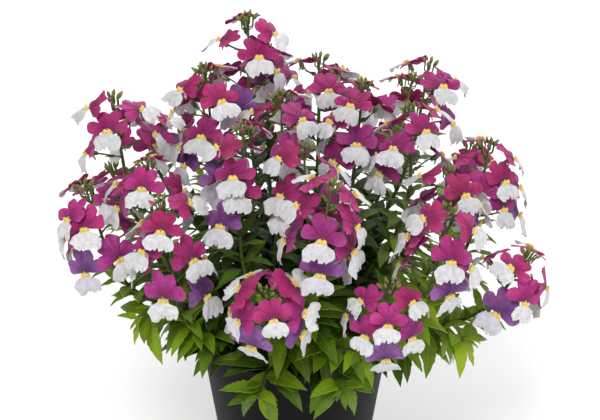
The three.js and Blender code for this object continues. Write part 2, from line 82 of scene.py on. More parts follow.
# Flower heads, front ones first: the tip, the lean of the stalk at its end (x, y for 1 up), the length
# that bears blooms, how far the lower blooms reach out, and the compass angle that each bloom faces,
# from the tip down. 0 faces the front and 90 the right-hand side.
HEADS = (
    ((-15, -120, 190), (-0.1, -0.85), 25, 1.15, (15, -115, 125, -55, 75, -160, 170, -95, 45, -15)),
    ((50, -103, 184), (0.1, -0.3), 28, 1.1, (60, -75, 0, 105, -30, 45, -100, 5)),
    ((19, -98, 240), (0.17, -0.1), 44, 1, (-130, 120, -75, 75, 0, 180, 50, -95, -20, 100)),
    ((80, -88, 221), (0.15, -0.1), 38, 1, (-60, 75, 140, -95, 20, -35, 65, -80, 10, 110)),
    ((-70, -68, 216), (-0.1, -0.05), 52, 1, (100, -10, -120, -40, 40, -85, 115, -15, 60)),
    ((5, -62, 245), (-0.05, -0.1), 36, 1, (-10, -110, 100, -40, 65, 10, -90)),
    ((-27, -52, 252), (0.05, 0.05), 50, 1, (150, -60, 120, -25, 35, -130, 90, -30, 15)),
    ((82, -52, 227), (0, 0), 26, 1, (-85, 5, 130, 50, -150, 85)),
    ((-80, -40, 226), (-0.05, 0), 24, 1, (170, 20, -100, 100, -20, 65)),
    ((-115, -35, 210), (-0.25, -0.05), 40, 1.15, (-140, 130, -50, 5, 75, -70, 40, -100, 25, -35)),
    ((130, -48, 174), (0.6, -0.1), 24, 1.15, (170, -45, 80, 25, -120, 75, -20)),
    ((64, -30, 254), (0, 0.05), 34, 1, (110, 40, -135, -5, -75, 75, -30, 20)),
    ((38, -12, 261), (0.1, 0.1), 42, 1, (180, -20, 80, -65, 35, -85, 0, 100)),
    ((-7, -15, 255), (0, 0.1), 30, 1, (150, -80, 40, -25, 100, 0)),
    ((-101, -5, 250), (-0.12, 0.05), 40, 1.15, (-80, 85, -15, 160, 55, -75, 0, 110, -50)),
    ((109, -8, 223), (0.12, 0.05), 36, 1.3, (-170, 100, -80, 45, -15, 85, 25, 95, -50, 60)),
    ((-49, -5, 267), (-0.08, 0.1), 54, 1, (150, -70, 35, -140, 60, -15, -95, 10, -60, 30)),
    ((75, 8, 265), (0.16, 0.15), 30, 1.15, (-120, 95, 25, 150, -15, -60, 75, 40)),
    ((14, 28, 260), (0, 0.15), 28, 1, (-120, 120, 5, 75, -70, -25)),
    ((-26, 25, 286), (0, 0.05), 44, 1.1, (-160, 75, -95, 5, 115, -50, 55, -120, 150, -20)),
    ((-92, 52, 217), (-0.3, 0.2), 20, 1, (-170, 100, -60, 20, 160)),
    ((-58, 86, 222), (-0.2, 0.35), 20, 1, (180, 60, -60, 120, -120)),
    ((-18, 80, 246), (-0.05, 0.3), 20, 1, (150, -100, 60, -150)),
    ((28, 94, 226), (0.1, 0.35), 20, 1, (-160, 120, -70, 50, 170)),
    ((70, 64, 234), (0.25, 0.25), 20, 1, (-150, 100, 160, -80)),
    ((106, 48, 196), (0.45, 0.25), 20, 1, (60, 160, -20, 110)),
    ((-8, 124, 192), (0, 0.6), 20, 1, (180, 70, -70, 130, -130)),
    ((64, 114, 184), (0.3, 0.55), 18, 1, (170, 90, -140, 130)),
    ((-66, 118, 176), (-0.3, 0.55), 18, 1, (-170, -90, 140, 90)),
    ((-112, 72, 172), (-0.5, 0.35), 18, 1, (-90, 160, -20, -150)),
)
# The heads that each leafy stem bears, and the flowerless shoots: compass angle, reach, height of the tip.
STEMS = (
    (0, 1), (2, 5), (3, 7), (4, 8), (6, 13), (9, 14), (10, 15), (11, 12),
    (16, 20), (17, 24), (18, 23), (19, 22), (21, 28), (26, 27), (25,), (29,),
)
SHOOTS = (
    (-14, 84, 104), (-62, 100, 134), (58, 112, 128), (19, 82, 106),
    (128, 86, 112), (180, 84, 108), (-123, 86, 112),
)
print(len(HEADS), "heads on", len(STEMS), "stems, and", len(SHOOTS), "shoots")

# %% Directions and a repeatable draw
UP = np.array((0.0, 0.0, 1.0))


def unit(way):
    return way / math.sqrt(way @ way)


def turn_to(a, b, degrees):
    """The direction that lies so many degrees from a, towards b."""
    return a * math.cos(math.radians(degrees)) + b * math.sin(math.radians(degrees))


def square_to(axis, way):
    """The part of a direction that is square to an axis."""
    return unit(way - axis * (way @ axis))


def compass(degrees):
    """A level direction: 0 faces the front and 90 the right-hand side."""
    return np.array((math.sin(math.radians(degrees)), -math.cos(math.radians(degrees)), 0.0))


def stream(seed):
    """A repeatable stream of numbers from 0 to 1."""
    state = seed * 7919 + 17
    while True:
        state = state * 16807 % 2147483647
        yield state / 2147483647


print("90 degrees on the compass is", compass(90).round(3))

# %% Stalks as curves
CURVE_TIMES = np.linspace(0, 1, 201)


class Stalk:
    """A smooth curve between two places, walked by its length."""

    def __init__(self, start, near_start, near_end, end):
        self.corners = np.array((start, near_start, near_end, end))
        steps = np.linalg.norm(np.diff(self.point(CURVE_TIMES), axis=0), axis=1)
        self.walked = np.concatenate(((0.0,), np.cumsum(steps)))

    def point(self, t):
        t = np.atleast_1d(t)[:, None]
        k = 1 - t
        a, b, c, d = self.corners
        return k**3 * a + 3 * k * k * t * b + 3 * k * t * t * c + t**3 * d

    def place(self, share):
        return np.interp(share * self.walked[-1], self.walked, CURVE_TIMES)

    def at(self, share):
        return self.point(self.place(share))[0]

    def tangent(self, share):
        t = self.place(share)
        return unit(self.point(t + 1e-4)[0] - self.point(t - 1e-4)[0])

    def knots(self, nodes):
        return [self.at(i / nodes) for i in range(nodes + 1)]


def dotted(knots):
    """Points every 3 mm or so along straight pieces."""
    dots = []
    for a, b in zip(knots, knots[1:]):
        count = math.ceil(np.linalg.norm(b - a) / 3)
        dots += [a + (b - a) * (k / count) for k in range(count + 1)]
    return dots


print("Stalk curves are measured at", len(CURVE_TIMES), "places")

# %% Room that is already taken
NEAR = [(i, j, k) for i in (-1, 0, 1) for j in (-1, 0, 1) for k in (-1, 0, 1)]


class Room:
    """Points of the pieces laid so far, kept in cubes, so that a new piece can find its neighbours."""

    def __init__(self, size):
        self.size = size
        self.cubes = {}

    def cube(self, x, y, z):
        return math.floor(x / self.size), math.floor(y / self.size), math.floor(z / self.size)

    def claim(self, points, owner):
        for x, y, z in points:
            self.cubes.setdefault(self.cube(x, y, z), []).append((x, y, z, owner))

    def is_clear(self, points, owner, distance):
        limit = distance * distance
        for x, y, z in points:
            i, j, k = self.cube(x, y, z)
            for di, dj, dk in NEAR:
                for a, b, c, who in self.cubes.get((i + di, j + dj, k + dk), ()):
                    if who != owner and (a - x) ** 2 + (b - y) ** 2 + (c - z) ** 2 < limit:
                        return False
        return True


room = Room(STALK_CLEARANCE)


def first_clear(choices, samples_of, owner, own, clearance=CLEARANCE):
    """The first choice that keeps clear of the other pieces and, as far as it can, of its own piece."""
    for between in OWN_CLEARANCES:
        for choice in choices:
            samples = samples_of(choice)
            if room.is_clear(samples, owner, clearance) and own.is_clear(samples, "", between):
                room.claim(samples, owner)
                own.claim(samples, owner)
                return choice
    return None


print("Laid pieces are kept in cubes of", room.size, "mm")

# %% Tools to lay a stalk
BOWS = (0, 10, -10, 20, -20, 30, -30, 42, -42, 55, -55)
START_PULL, END_PULL = 0.42, 0.36
ROOT_Z = SOIL_EDGE - ROOT_DEPTH
SHARED_ROOT = 0.4


def head_axis(number):
    """The direction of a head, its tip, and its foot, where its stalk ends."""
    tip, lean, length, _, _ = HEADS[number]
    axis = unit(np.array((lean[0], lean[1], 1.0)))
    return axis, np.array(tip, float), np.array(tip, float) - axis * (length + NECK)


def stalk(start, start_way, end, end_way, bow):
    """A curve that leaves and arrives in given directions, bowed sideways by so many millimetres."""
    span = np.linalg.norm(end - start)
    sideways = np.cross(end - start, UP)
    sideways *= bow / np.linalg.norm(sideways)
    near_start = start + start_way * span * START_PULL + sideways
    return Stalk(start, near_start, end - end_way * span * END_PULL, end)


def first_stalk(make_curve, nodes, owner):
    """The least bowed curve that runs clear of the stalks laid before, as knots and as a curve."""
    curves = [make_curve(bow) for bow in BOWS]
    fits = [c for c in curves if room.is_clear(dotted(c.knots(nodes)), owner, STALK_CLEARANCE)]
    curve = (fits or curves)[0]
    knots = curve.knots(nodes)
    room.claim(dotted(knots), owner)
    return knots, curve


print("A stalk may bow in", len(BOWS), "ways")

# %% Stems that fork
def lay_stem(heads, number):
    """The straight-sided paths of a stem: its main stalk, and the one that forks from it."""
    owner = f"stem {number}"
    axes = [head_axis(head) for head in heads]
    root = axes[0][2] * ROOT_SPREAD
    if len(axes) > 1:
        root = root + (axes[1][2] * ROOT_SPREAD - root) * SHARED_ROOT
    root[2] = 0.0
    root *= min(1.0, ROOT_LIMIT / np.linalg.norm(root))
    root[2] = ROOT_Z
    axis, _, base = axes[0]
    top = base - axis * GAP
    knots, trunk = first_stalk(lambda bow: stalk(root, UP, top, axis, bow), TRUNK_NODES, owner)
    if len(axes) == 1:
        return [knots]
    fork = trunk.at(FORK_NODE / TRUNK_NODES)
    twig_axis, _, twig_base = axes[1]
    end = twig_base - twig_axis * GAP
    way = unit(trunk.tangent(FORK_NODE / TRUNK_NODES) + unit(end - fork))
    twig, _ = first_stalk(lambda bow: stalk(fork, way, end, twig_axis, bow), TWIG_NODES, owner)
    return [knots, twig]


stems = [{"paths": lay_stem(heads, i)} for i, heads in enumerate(STEMS)]
print(sum(len(s["paths"]) for s in stems), "stalks laid")

# %% Shoots over the rim
def lay_shoot(angle, out, tip, number):
    """The path of a shoot: up from the soil near the wall, over the rim and down a little."""
    way = compass(angle)
    root = way * (ROOT_LIMIT - 3) + UP * ROOT_Z
    end = way * out + UP * tip

    def arch(bow):
        near_end = end - turn_to(way, UP, SHOOT_DROOP) * SHOOT_RISE + np.cross(UP, way) * bow
        return Stalk(root, root + UP * SHOOT_RISE, near_end, end)

    return [first_stalk(arch, TRUNK_NODES, f"shoot {number}")[0]]


shoots = [{"paths": lay_shoot(*shoot, i)} for i, shoot in enumerate(SHOOTS)]
print(len(shoots), "shoots laid")

# %% Placing a bloom
SWAYS = (
    (0, 0), (14, 0), (-14, 0), (0, 3), (0, -3), (28, 0), (-28, 0), (14, 4), (-14, 4),
    (14, -4), (-14, -4), (42, 2), (-42, 2), (56, 0), (-56, 0), (0, 7), (0, -6),
)


def bloom_samples(bloom):
    """Points of a bloom's outline, of its face between throat and outline, and of its pedicel."""
    side = np.cross(bloom["up"], bloom["front"])
    centre = bloom["at"] + bloom["front"] * THROAT_LIFT
    samples = [centre]
    for sign in (1, -1):
        for degrees, radius, lift in BLOOM_HALF if sign == 1 else BLOOM_HALF[1:-1]:
            angle = math.radians(degrees * sign)
            flat = bloom["up"] * math.cos(angle) + side * math.sin(angle)
            edge = bloom["at"] + (flat * radius + bloom["front"] * lift) * bloom["size"]
            samples += [centre + (edge - centre) * share for share in (0.38, 0.7, 1)]
    return samples + [bloom["at"] + (bloom["root"] - bloom["at"]) * share for share in (0.2, 0.45)]


def bloom_at(number, index, turn, drop):
    """One way to place a bloom: the lower on its head, the further out and the more level it faces."""
    axis, tip, _ = head_axis(number)
    _, _, length, reach, faces = HEADS[number]
    share = index / (len(faces) - 1)
    down = 1.5 + share * length + drop
    out = square_to(axis, compass(faces[index] + turn))
    spread = (12.5 + 4 * min(1, 2.2 * share)) * (1 + (reach - 1) * share)
    front = turn_to(axis, out, 44 + 44 * share)
    foot = tip - axis * min(down + 7, length + NECK - 2.5)
    return {
        "at": tip - axis * down + out * spread, "root": foot + out * PEDICEL_START, "order": index,
        "front": front, "up": square_to(front, axis), "out": out,
        "size": (0.93 + 0.15 * share) * BLOOM_SIZES.get(number, 1),
    }


print("A bloom may stand in", len(SWAYS), "ways")

# %% Heads, bloom by bloom
def lay_head(number):
    """A head with its blooms from the tip down, each in the first place where it has room."""
    axis, tip, base = head_axis(number)
    owner = f"head {number}"
    draw = stream(number)
    own = Room(CLEARANCE)
    room.claim(dotted([base, tip])[3:], owner)
    blooms = []
    for index in range(len(HEADS[number][4])):
        jitter = (next(draw) - 0.5) * 10
        choices = [bloom_at(number, index, turn + jitter, drop) for turn, drop in SWAYS]
        bloom = first_clear(choices, bloom_samples, owner, own)
        if bloom:
            blooms.append(bloom)
    return {"axis": axis, "tip": tip, "base": base, "blooms": blooms}


heads = [lay_head(number) for number in range(len(HEADS))]
print(sum(len(head["blooms"]) for head in heads), "blooms laid")

# %% Placing a leaf on a stalk
LEAF_SWAYS = ((0, 0), (18, 0), (-18, 0), (0, 22), (0, -22), (30, 20), (-30, 20), (40, -10), (-40, -10))


def leaf_at(at, way, spin, rise, length, droop):
    """A leaf on a stalk that runs one way: spin turns it round the stalk, and rise lifts it."""
    level = np.cross(UP, way)
    side = unit(level) if np.linalg.norm(level) > 0.05 else np.array((1.0, 0.0, 0.0))
    out = turn_to(side, np.cross(way, side), spin)
    along = turn_to(out, way, rise)
    face = square_to(along, UP + way * 0.5)
    return {
        "at": at + out * LEAF_START, "along": along, "face": face, "side": np.cross(face, along),
        "length": length, "droop": droop,
    }


def leaf_points(leaf, share, across, thick=0.0):
    """Places on a leaf: share is 0 at its foot and 1 at its tip, across is the distance from the midrib."""
    share = np.asarray(share, float)[..., None]
    across = np.asarray(across, float)[..., None]
    reach = leaf["length"] * share * (1 - 0.25 * leaf["droop"] * share)
    lift = 0.22 * np.abs(across) + np.asarray(thick)[..., None] - leaf["droop"] * leaf["length"] * share**2
    return leaf["at"] + leaf["along"] * reach + leaf["side"] * across + leaf["face"] * lift


def leaf_samples(leaf):
    """Points of a leaf's two edges and of its midrib."""
    half = leaf["length"] * LEAF_WIDTH / 2
    edge = TOOTHED_EDGE if leaf["length"] > LARGE_LEAF else SMALL_EDGE
    shares = [share for share, _ in edge]
    widths = np.array([width for _, width in edge]) * half
    rib = (0.25, 0.4, 0.55, 0.7, 0.8, 0.9, 1.0)
    lines = (shares, widths), (shares, -widths), (rib, [0.0] * len(rib))
    return np.vstack([leaf_points(leaf, *line) for line in lines]).tolist()


print("A large leaf may stand in", len(LEAF_SWAYS), "ways")

# %% Large leaves, pair by pair
def outside_pot(points):
    """Whether a leaf's points keep about 3 mm off the pot's collar and wall, and off the soil."""
    for x, y, z in points:
        radius = math.hypot(x, y)
        inside = radius < RIM_RADIUS - WALL - 3
        if z <= POT_HEIGHT + 2.5 and not (z > SOIL_CROWN + 3 if inside else radius > RIM_RADIUS + 3.5):
            return False
    return True


def first_free(choices, owner, own, clearance=CLEARANCE):
    free = [leaf for leaf in choices if outside_pot(leaf_samples(leaf))]
    return first_clear(free, leaf_samples, owner, own, clearance)


def lay_leaves(paths, number, owner, flowering):
    """Opposite pairs of large leaves, each pair square to the last, shorter and flatter up the stalk."""
    draw = stream(100 + number)
    own = Room(CLEARANCE)
    leaves = []
    for branch, knots in enumerate(paths):
        nodes = len(knots) - 1
        for node in range(1, (LEAFY_NODES[branch] if flowering else nodes - 1) + 1):
            share = (node + 0.5) / nodes
            at = (knots[node] + knots[node + 1]) / 2
            way = unit(knots[node + 1] - knots[node])
            length = LEAF_LENGTH * (1.08 - 0.45 * share) * (0.9 + 0.2 * next(draw))
            spin = 45 + 90 * node + 24 * (next(draw) - 0.5)
            rise = 40 - 16 * share
            droop = 0.34 + 0.2 * next(draw)
            for half in (0, 180):
                leaf = first_free([
                    leaf_at(at, way, spin + half + turn, rise + lift, length, droop)
                    for turn, lift in LEAF_SWAYS
                ], owner, own)
                if leaf:
                    leaves.append(leaf)
    return leaves


for index, shoot in enumerate(shoots):
    shoot["leaves"] = lay_leaves(shoot["paths"], 50 + index, f"shoot {index}", False)
for index, stem in enumerate(stems):
    stem["leaves"] = lay_leaves(stem["paths"], index, f"stem {index}", True)
print(sum(len(s["leaves"]) for s in stems + shoots), "leaves laid")

# %% [markdown]
# ## Materials
# Nothing on this plant is one flat colour. Petals have veins that run out from the throat, and they fade
# from magenta to violet as a flower ages. Leaves are painted bright green far out from the bush's middle,
# as if in the light, and painted darker inside it as shade, with a random tone on top. Such changes could
# be painted on an image, but a procedure needs no image and never runs out of detail: each finish below
# mixes a few colours by a noise, by the petal's own map, or by an age that is written on each flower.
#
# Colours are picked as on a screen, so one function turns them to the linear values that light needs, and
# one small function adds a node, sets it and links it. The others below only name the nodes most used.

# %% Colours, nodes and materials
def colour(code):
    """A screen colour such as #b5357c as linear light."""
    parts = [int(code[i:i + 2], 16) / 255 for i in (1, 3, 5)]
    return (*(c / 12.92 if c <= 0.04045 else ((c + 0.055) / 1.055) ** 2.4 for c in parts), 1.0)


def add(tree, kind, inputs=None, **settings):
    """Adds a node. Each input gets a value, or a link from another node's socket."""
    node = tree.nodes.new(kind)
    for name, value in settings.items():
        setattr(node, name, value)
    for name, value in (inputs or {}).items():
        if isinstance(value, bpy.types.NodeSocket):
            tree.links.new(value, node.inputs[name])
        else:
            node.inputs[name].default_value = value
    return node


def new_material(name, **sockets):
    """A material with uniform values on its shader, its node tree, and the socket that tells the place."""
    material = bpy.data.materials.new(name)
    material.use_nodes = True
    tree = material.node_tree
    for socket, value in sockets.items():
        tree.nodes["Principled BSDF"].inputs[socket.replace("_", " ")].default_value = value
    return material, tree, add(tree, "ShaderNodeTexCoord").outputs["Object"]


def feed(tree, socket, value):
    """Links a value to the shader."""
    tree.links.new(value, tree.nodes["Principled BSDF"].inputs[socket])


print("Green is", [round(c, 3) for c in colour("#54740a")], "as linear light")

# %% The nodes most used
def maths(tree, operation, *values):
    return add(tree, "ShaderNodeMath", dict(enumerate(values)), operation=operation).outputs[0]


def ranged(tree, value, start, end, low, high):
    """Carries a value from the range start to end over to low to high."""
    limits = {"From Min": start, "From Max": end, "To Min": low, "To Max": high}
    return add(tree, "ShaderNodeMapRange", {"Value": value, **limits}).outputs[0]


def noise_at(tree, place, scale, detail=2.0):
    """A cloudy noise, 0 to 1. The scale is about the number of its lumps in a metre."""
    return add(tree, "ShaderNodeTexNoise", {"Vector": place, "Scale": scale, "Detail": detail}).outputs["Fac"]


def written(tree, name):
    """A number that is written on the points of a piece."""
    return add(tree, "ShaderNodeAttribute", attribute_name=name).outputs["Fac"]


def own_map(tree):
    """The X and Y of a piece's own map."""
    where = add(tree, "ShaderNodeUVMap", uv_map="UVMap").outputs["UV"]
    parts = add(tree, "ShaderNodeSeparateXYZ", {"Vector": where}).outputs
    return parts["X"], parts["Y"]


print("Node helpers ready")

# %% Colours along a value, and relief
def ramp(tree, factor, *stops):
    """A run of colours: (place, screen colour) from 0 to 1."""
    node = add(tree, "ShaderNodeValToRGB", {"Fac": factor})
    while len(node.color_ramp.elements) < len(stops):
        node.color_ramp.elements.new(0.5)
    for element, (place, code) in zip(node.color_ramp.elements, stops):
        element.position = place
        element.color = colour(code)
    return node.outputs["Color"]


def mixed(tree, factor, first, second):
    """Two colours mixed by a factor. On a Mix node, sockets 6 and 7 take colours and socket 2 gives one."""
    pair = [colour(value) if isinstance(value, str) else value for value in (first, second)]
    return add(tree, "ShaderNodeMix", {0: factor, 6: pair[0], 7: pair[1]}, data_type="RGBA").outputs[2]


def relief(tree, height, depth, strength):
    """Fine relief that follows a value, its depth in millimetres."""
    bump = add(tree, "ShaderNodeBump", {"Height": height, "Distance": depth * MM, "Strength": strength})
    feed(tree, "Normal", bump.outputs["Normal"])


def mottled(name, scale, detail, stops, depth=0.0, **sockets):
    """A material whose colour, and relief if it has a depth, follow one noise."""
    material, tree, place = new_material(name, **sockets)
    tone = noise_at(tree, place, scale, detail)
    feed(tree, "Base Color", ramp(tree, tone, *stops))
    if depth:
        relief(tree, tone, depth, 0.8)
    return material


print("Material helpers ready")

# %% [markdown]
# ### Petals
# A nemesia petal is a thin, soft sheet of cells full of sap. It is matt with a faint velvet sheen, and some
# light comes through it. The upper lip opens magenta, fine darker veins fan out of the throat, and the
# colour turns to violet and then to lavender with age. The lower lip stays white, a little greyer on some
# flowers than on others, with a hint of lilac on old ones. The upper lip's map runs round the throat in X
# and outwards in Y, and the lower lip's across it in X and down it in Y, so a wave in X draws the veins.
# Both lips are also painted darker in their folds, as shade, and the upper lip is painted darker at its
# throat, as shade, and lighter at its edges, partly as light.

# %% What both lips share
PETAL_SKIN = {"Sheen_Weight": 0.05, "Sheen_Roughness": 0.5, "Subsurface_Scale": 1.0}


def petal_veins(tree, place, count, strength):
    """Thin lines that fan out from the throat and fade before the edge, 0 to 1, and the way outwards."""
    turn, out = own_map(tree)
    turn = maths(tree, "MULTIPLY_ADD", noise_at(tree, place, 420.0, 1.0), 0.05, turn)
    wave = maths(tree, "SINE", maths(tree, "MULTIPLY", turn, math.tau * count))
    thin = ranged(tree, wave, 0.55, 1.0, 0.0, 1.0)
    return maths(tree, "MULTIPLY", thin, ranged(tree, out, 0.1, 0.95, strength, 0.0)), out


def petal_relief(tree, place):
    """The fine crinkle of a petal: soft ridges about 2 mm apart, drawn a little coarse so that they show."""
    relief(tree, noise_at(tree, place, 480.0, 3.0), 0.9, 0.6)


print("Petal helpers ready")

# %% The upper lip's material
def upper_petal():
    material, tree, place = new_material(
        "petal_magenta_to_violet", Roughness=0.6, Specular_IOR_Level=0.25, Subsurface_Weight=0.25,
        Subsurface_Radius=(0.0016, 0.0006, 0.0012), **PETAL_SKIN,
    )
    veins, out = petal_veins(tree, place, 26, 0.55)
    blotch = noise_at(tree, place, 160.0)
    aged = maths(tree, "MULTIPLY_ADD", blotch, 0.16, written(tree, "age"))
    full = ramp(
        tree, aged, (0.08, "#880a3a"), (0.2, "#92124c"), (0.34, "#921960"), (0.5, "#85206c"),
        (0.68, "#781f6c"), (0.84, "#722a72"), (1.0, "#7a4284"),
    )
    bright = ramp(tree, aged, (0.1, "#bd2670"), (0.36, "#bf3086"), (0.68, "#964490"), (1.0, "#8e60a0"))
    # Deep magenta for the veins, and also for the painted shade in the folds and at the throat.
    vein_and_shade_colour = ramp(tree, aged, (0.0, "#640a38"), (0.5, "#5c1250"), (1.0, "#461c58"))
    pale = ramp(tree, aged, (0.1, "#cc4e92"), (0.5, "#bc60aa"), (0.8, "#a872b0"), (1.0, "#b08cbc"))
    base = mixed(tree, veins, mixed(tree, written(tree, "tint"), full, bright), vein_and_shade_colour)
    # Lighter towards the lobes' edges in patches: partly the petal's own paler edge, partly painted light
    # where the edges catch it.
    pale_edge_and_painted_light = maths(tree, "MULTIPLY", ranged(tree, out, 0.35, 1.0, 0.0, 0.5), blotch)
    base = mixed(tree, pale_edge_and_painted_light, base, pale)
    # Painted shade in the petal's folds: dark patches laid by a noise.
    fold = ranged(tree, noise_at(tree, place, 330.0, 3.0), 0.35, 0.7, 0.0, 0.45)
    base = mixed(tree, fold, base, vein_and_shade_colour)
    # Painted shade at the throat: the lip is darker towards the tube, fading out over its inner part.
    painted_throat_shade = ranged(tree, out, 0.0, 0.6, 0.8, 0.0)
    feed(tree, "Base Color", mixed(tree, painted_throat_shade, base, vein_and_shade_colour))
    petal_relief(tree, place)
    return material


MATERIALS = {"upper": upper_petal()}
print(MATERIALS["upper"].name)

# %% The lower lip's material
def lower_petal():
    material, tree, place = new_material(
        "petal_white", Roughness=0.55, Specular_IOR_Level=0.3, Subsurface_Weight=0.4,
        Subsurface_Radius=(0.0014, 0.0013, 0.0013), **PETAL_SKIN,
    )
    veins, out = petal_veins(tree, place, 16, 0.3)
    base = ramp(tree, written(tree, "tint"), (0.0, "#c6c6c7"), (0.3, "#d2d2d4"), (0.7, "#dcdcde"))
    lilac = ranged(tree, written(tree, "age"), 0.5, 1.0, 0.0, 0.6)
    base = mixed(tree, lilac, base, "#c2b8cc")
    # Painted shade in the lower lip's crinkles and folds: grey patches laid by a noise.
    fold = ranged(tree, noise_at(tree, place, 380.0, 3.0), 0.4, 0.7, 0.0, 0.5)
    base = mixed(tree, fold, base, "#a2a2aa")
    base = mixed(tree, veins, base, "#b3a9bd")
    warm = ranged(tree, out, 0.0, 0.35, 0.75, 0.0)
    feed(tree, "Base Color", mixed(tree, warm, base, "#dfc873"))
    petal_relief(tree, place)
    return material


MATERIALS["lower"] = lower_petal()
print(MATERIALS["lower"].name)

# %% Palate and tube
# The two yellow cushions that close the throat are furry. The tube and the spur are pale, flushed with pink.
MATERIALS["palate"] = mottled(
    "palate_yellow", 1500.0, 2.0, ((0.3, "#dbae3e"), (0.5, "#e3c450"), (0.75, "#ead88c")), 0.3,
    Roughness=0.7, Sheen_Weight=0.3, Sheen_Roughness=0.4,
)
MATERIALS["tube"] = mottled(
    "flower_tube_cream", 300.0, 1.0, ((0.3, "#c98fae"), (0.6, "#e6d3c4"), (0.8, "#efe8cf")), Roughness=0.55,
)
print(len(MATERIALS), "flower materials")

# %% [markdown]
# ### Leaves, stems and buds
# A nemesia leaf is herbaceous: soft and slightly glossy, with a pale midrib and side veins that run forward
# to the teeth. The leaf's map has the midrib at X = 0.5 and runs from the foot to the tip in Y, so the
# distance from X = 0.5 draws the midrib, and a wave along Y, bent forward towards the edge, the side veins.
# A number written on each leaf paints its light and shade, with a random tone: low inside the bush for
# painted shade, high far out for painted light.

# %% The leaf's material
# Leaf greens from the dark of painted shade to the bright of painted light.
LEAF_PAINTED_SHADE_TO_LIGHT = (0.0, "#121e09"), (0.25, "#2d460c"), (0.5, "#54740a"), (0.75, "#749408"), (1.0, "#92a815")
LEAF_VEINS = (0.0, "#3f5220"), (0.5, "#74903a"), (1.0, "#a5b757")
SIDE_VEINS = 9


def leaf():
    material, tree, place = new_material(
        "nemesia_leaf", Roughness=0.45, Specular_IOR_Level=0.25,
        Subsurface_Weight=0.08, Subsurface_Radius=(0.0006, 0.001, 0.0003), Subsurface_Scale=1.0,
    )
    across, along = own_map(tree)
    off = maths(tree, "ABSOLUTE", maths(tree, "SUBTRACT", across, 0.5))
    midrib = ranged(tree, off, 0.01, 0.05, 0.8, 0.0)
    slant = maths(tree, "MULTIPLY_ADD", off, -0.45, along)
    wave = maths(tree, "SINE", maths(tree, "MULTIPLY", slant, math.tau * SIDE_VEINS))
    veins = maths(tree, "MAXIMUM", midrib, ranged(tree, wave, 0.82, 1.0, 0.0, 0.45))
    patch = ranged(tree, noise_at(tree, place, 130.0, 3.0), 0.0, 1.0, -0.14, 0.14)
    painted_light_and_patches = maths(tree, "ADD", written(tree, "painted_light_and_tone"), patch)
    blade, pale = ramp(tree, painted_light_and_patches, *LEAF_PAINTED_SHADE_TO_LIGHT), ramp(tree, painted_light_and_patches, *LEAF_VEINS)
    feed(tree, "Base Color", mixed(tree, veins, blade, pale))
    relief(tree, maths(tree, "SUBTRACT", patch, veins), 0.35, 0.7)
    return material


MATERIALS["leaf"] = leaf()
print(MATERIALS["leaf"].name)

# %% Stem and bud materials
def stem():
    """Green stems, duller than the leaves, with a fine length-wise grain."""
    material, tree, place = new_material("nemesia_stem", Roughness=0.5)
    longer = add(tree, "ShaderNodeMapping", {"Vector": place, "Scale": (1.0, 1.0, 0.15)}).outputs["Vector"]
    grain = noise_at(tree, longer, 900.0)
    feed(tree, "Base Color", ramp(tree, grain, (0.25, "#3a4518"), (0.5, "#4f5d21"), (0.8, "#70783e")))
    relief(tree, grain, 0.15, 0.6)
    return material


def bud():
    """Closed buds: green at the foot, and the riper a bud is, the more rose at its tip."""
    material, tree, _ = new_material("nemesia_bud", Roughness=0.5)
    _, up = own_map(tree)
    rose = maths(tree, "MULTIPLY_ADD", written(tree, "age"), 0.6, up)
    stops = (0.3, "#48601a"), (0.72, "#66802a"), (0.85, "#86683a"), (1.0, "#9a4460")
    feed(tree, "Base Color", ramp(tree, rose, *stops))
    return material


MATERIALS.update(stem=stem(), bud=bud())
print(MATERIALS["stem"].name, MATERIALS["bud"].name)

# %% [markdown]
# ### Pot and soil
# The pot is injection-moulded polypropylene, coloured near black. Such a pot is satin rather than glossy,
# with a very fine grain from the mould and faint scuffs. Potting soil is peat and composted bark: dark
# brown crumbs of many sizes, quite matt, with a few pale specks of perlite, a popped volcanic glass.

# %% Pot and soil materials
def moulded_plastic():
    material, tree, place = new_material("moulded_black_polypropylene", Roughness=0.6, Specular_IOR_Level=0.1)
    wear = noise_at(tree, place, 35.0, 4.0)
    feed(tree, "Base Color", ramp(tree, wear, (0.3, "#09090c"), (0.6, "#0d0d10"), (0.8, "#151518")))
    feed(tree, "Roughness", ranged(tree, wear, 0.0, 1.0, 0.5, 0.66))
    relief(tree, noise_at(tree, place, 1400.0), 0.12, 0.35)
    return material


def potting_soil():
    material, tree, place = new_material("peat_potting_soil", Roughness=0.95)
    crumbs = add(tree, "ShaderNodeTexVoronoi", {"Vector": place, "Scale": 420.0}).outputs["Distance"]
    tone = noise_at(tree, place, 240.0, 4.0)
    feed(tree, "Base Color", ramp(tree, tone, (0.3, "#1e1510"), (0.5, "#35271d"), (0.7, "#4d3a2a")))
    relief(tree, maths(tree, "ADD", crumbs, tone), 1.2, 0.9)
    return material


MATERIALS.update(pot=moulded_plastic(), soil=potting_soil())
MATERIALS["perlite"] = mottled(
    "perlite_grains", 900.0, 2.0, ((0.3, "#b9b2a6"), (0.7, "#ddd8cf")), Roughness=0.9,
)
print(len(MATERIALS), "materials in all")

# %% [markdown]
# ## Small tools for modelling
# Each piece starts as a primitive that is shaped in edit mode, and modifiers finish it. A few helpers save
# repeating: one starts a primitive with everything else deselected, one applies a modifier, and one joins
# pieces. The foliage and petals curve in ways that no single operator gives, so a flat grid is shaped
# there by a rule that moves each point, as a sculptor bends a sheet of wax.

# %% Helpers for objects
def only(*objects):
    """Selects these objects and nothing else, the first one active."""
    bpy.ops.object.select_all(action="DESELECT")
    for thing in objects:
        thing.select_set(True)
    bpy.context.view_layer.objects.active = objects[0]


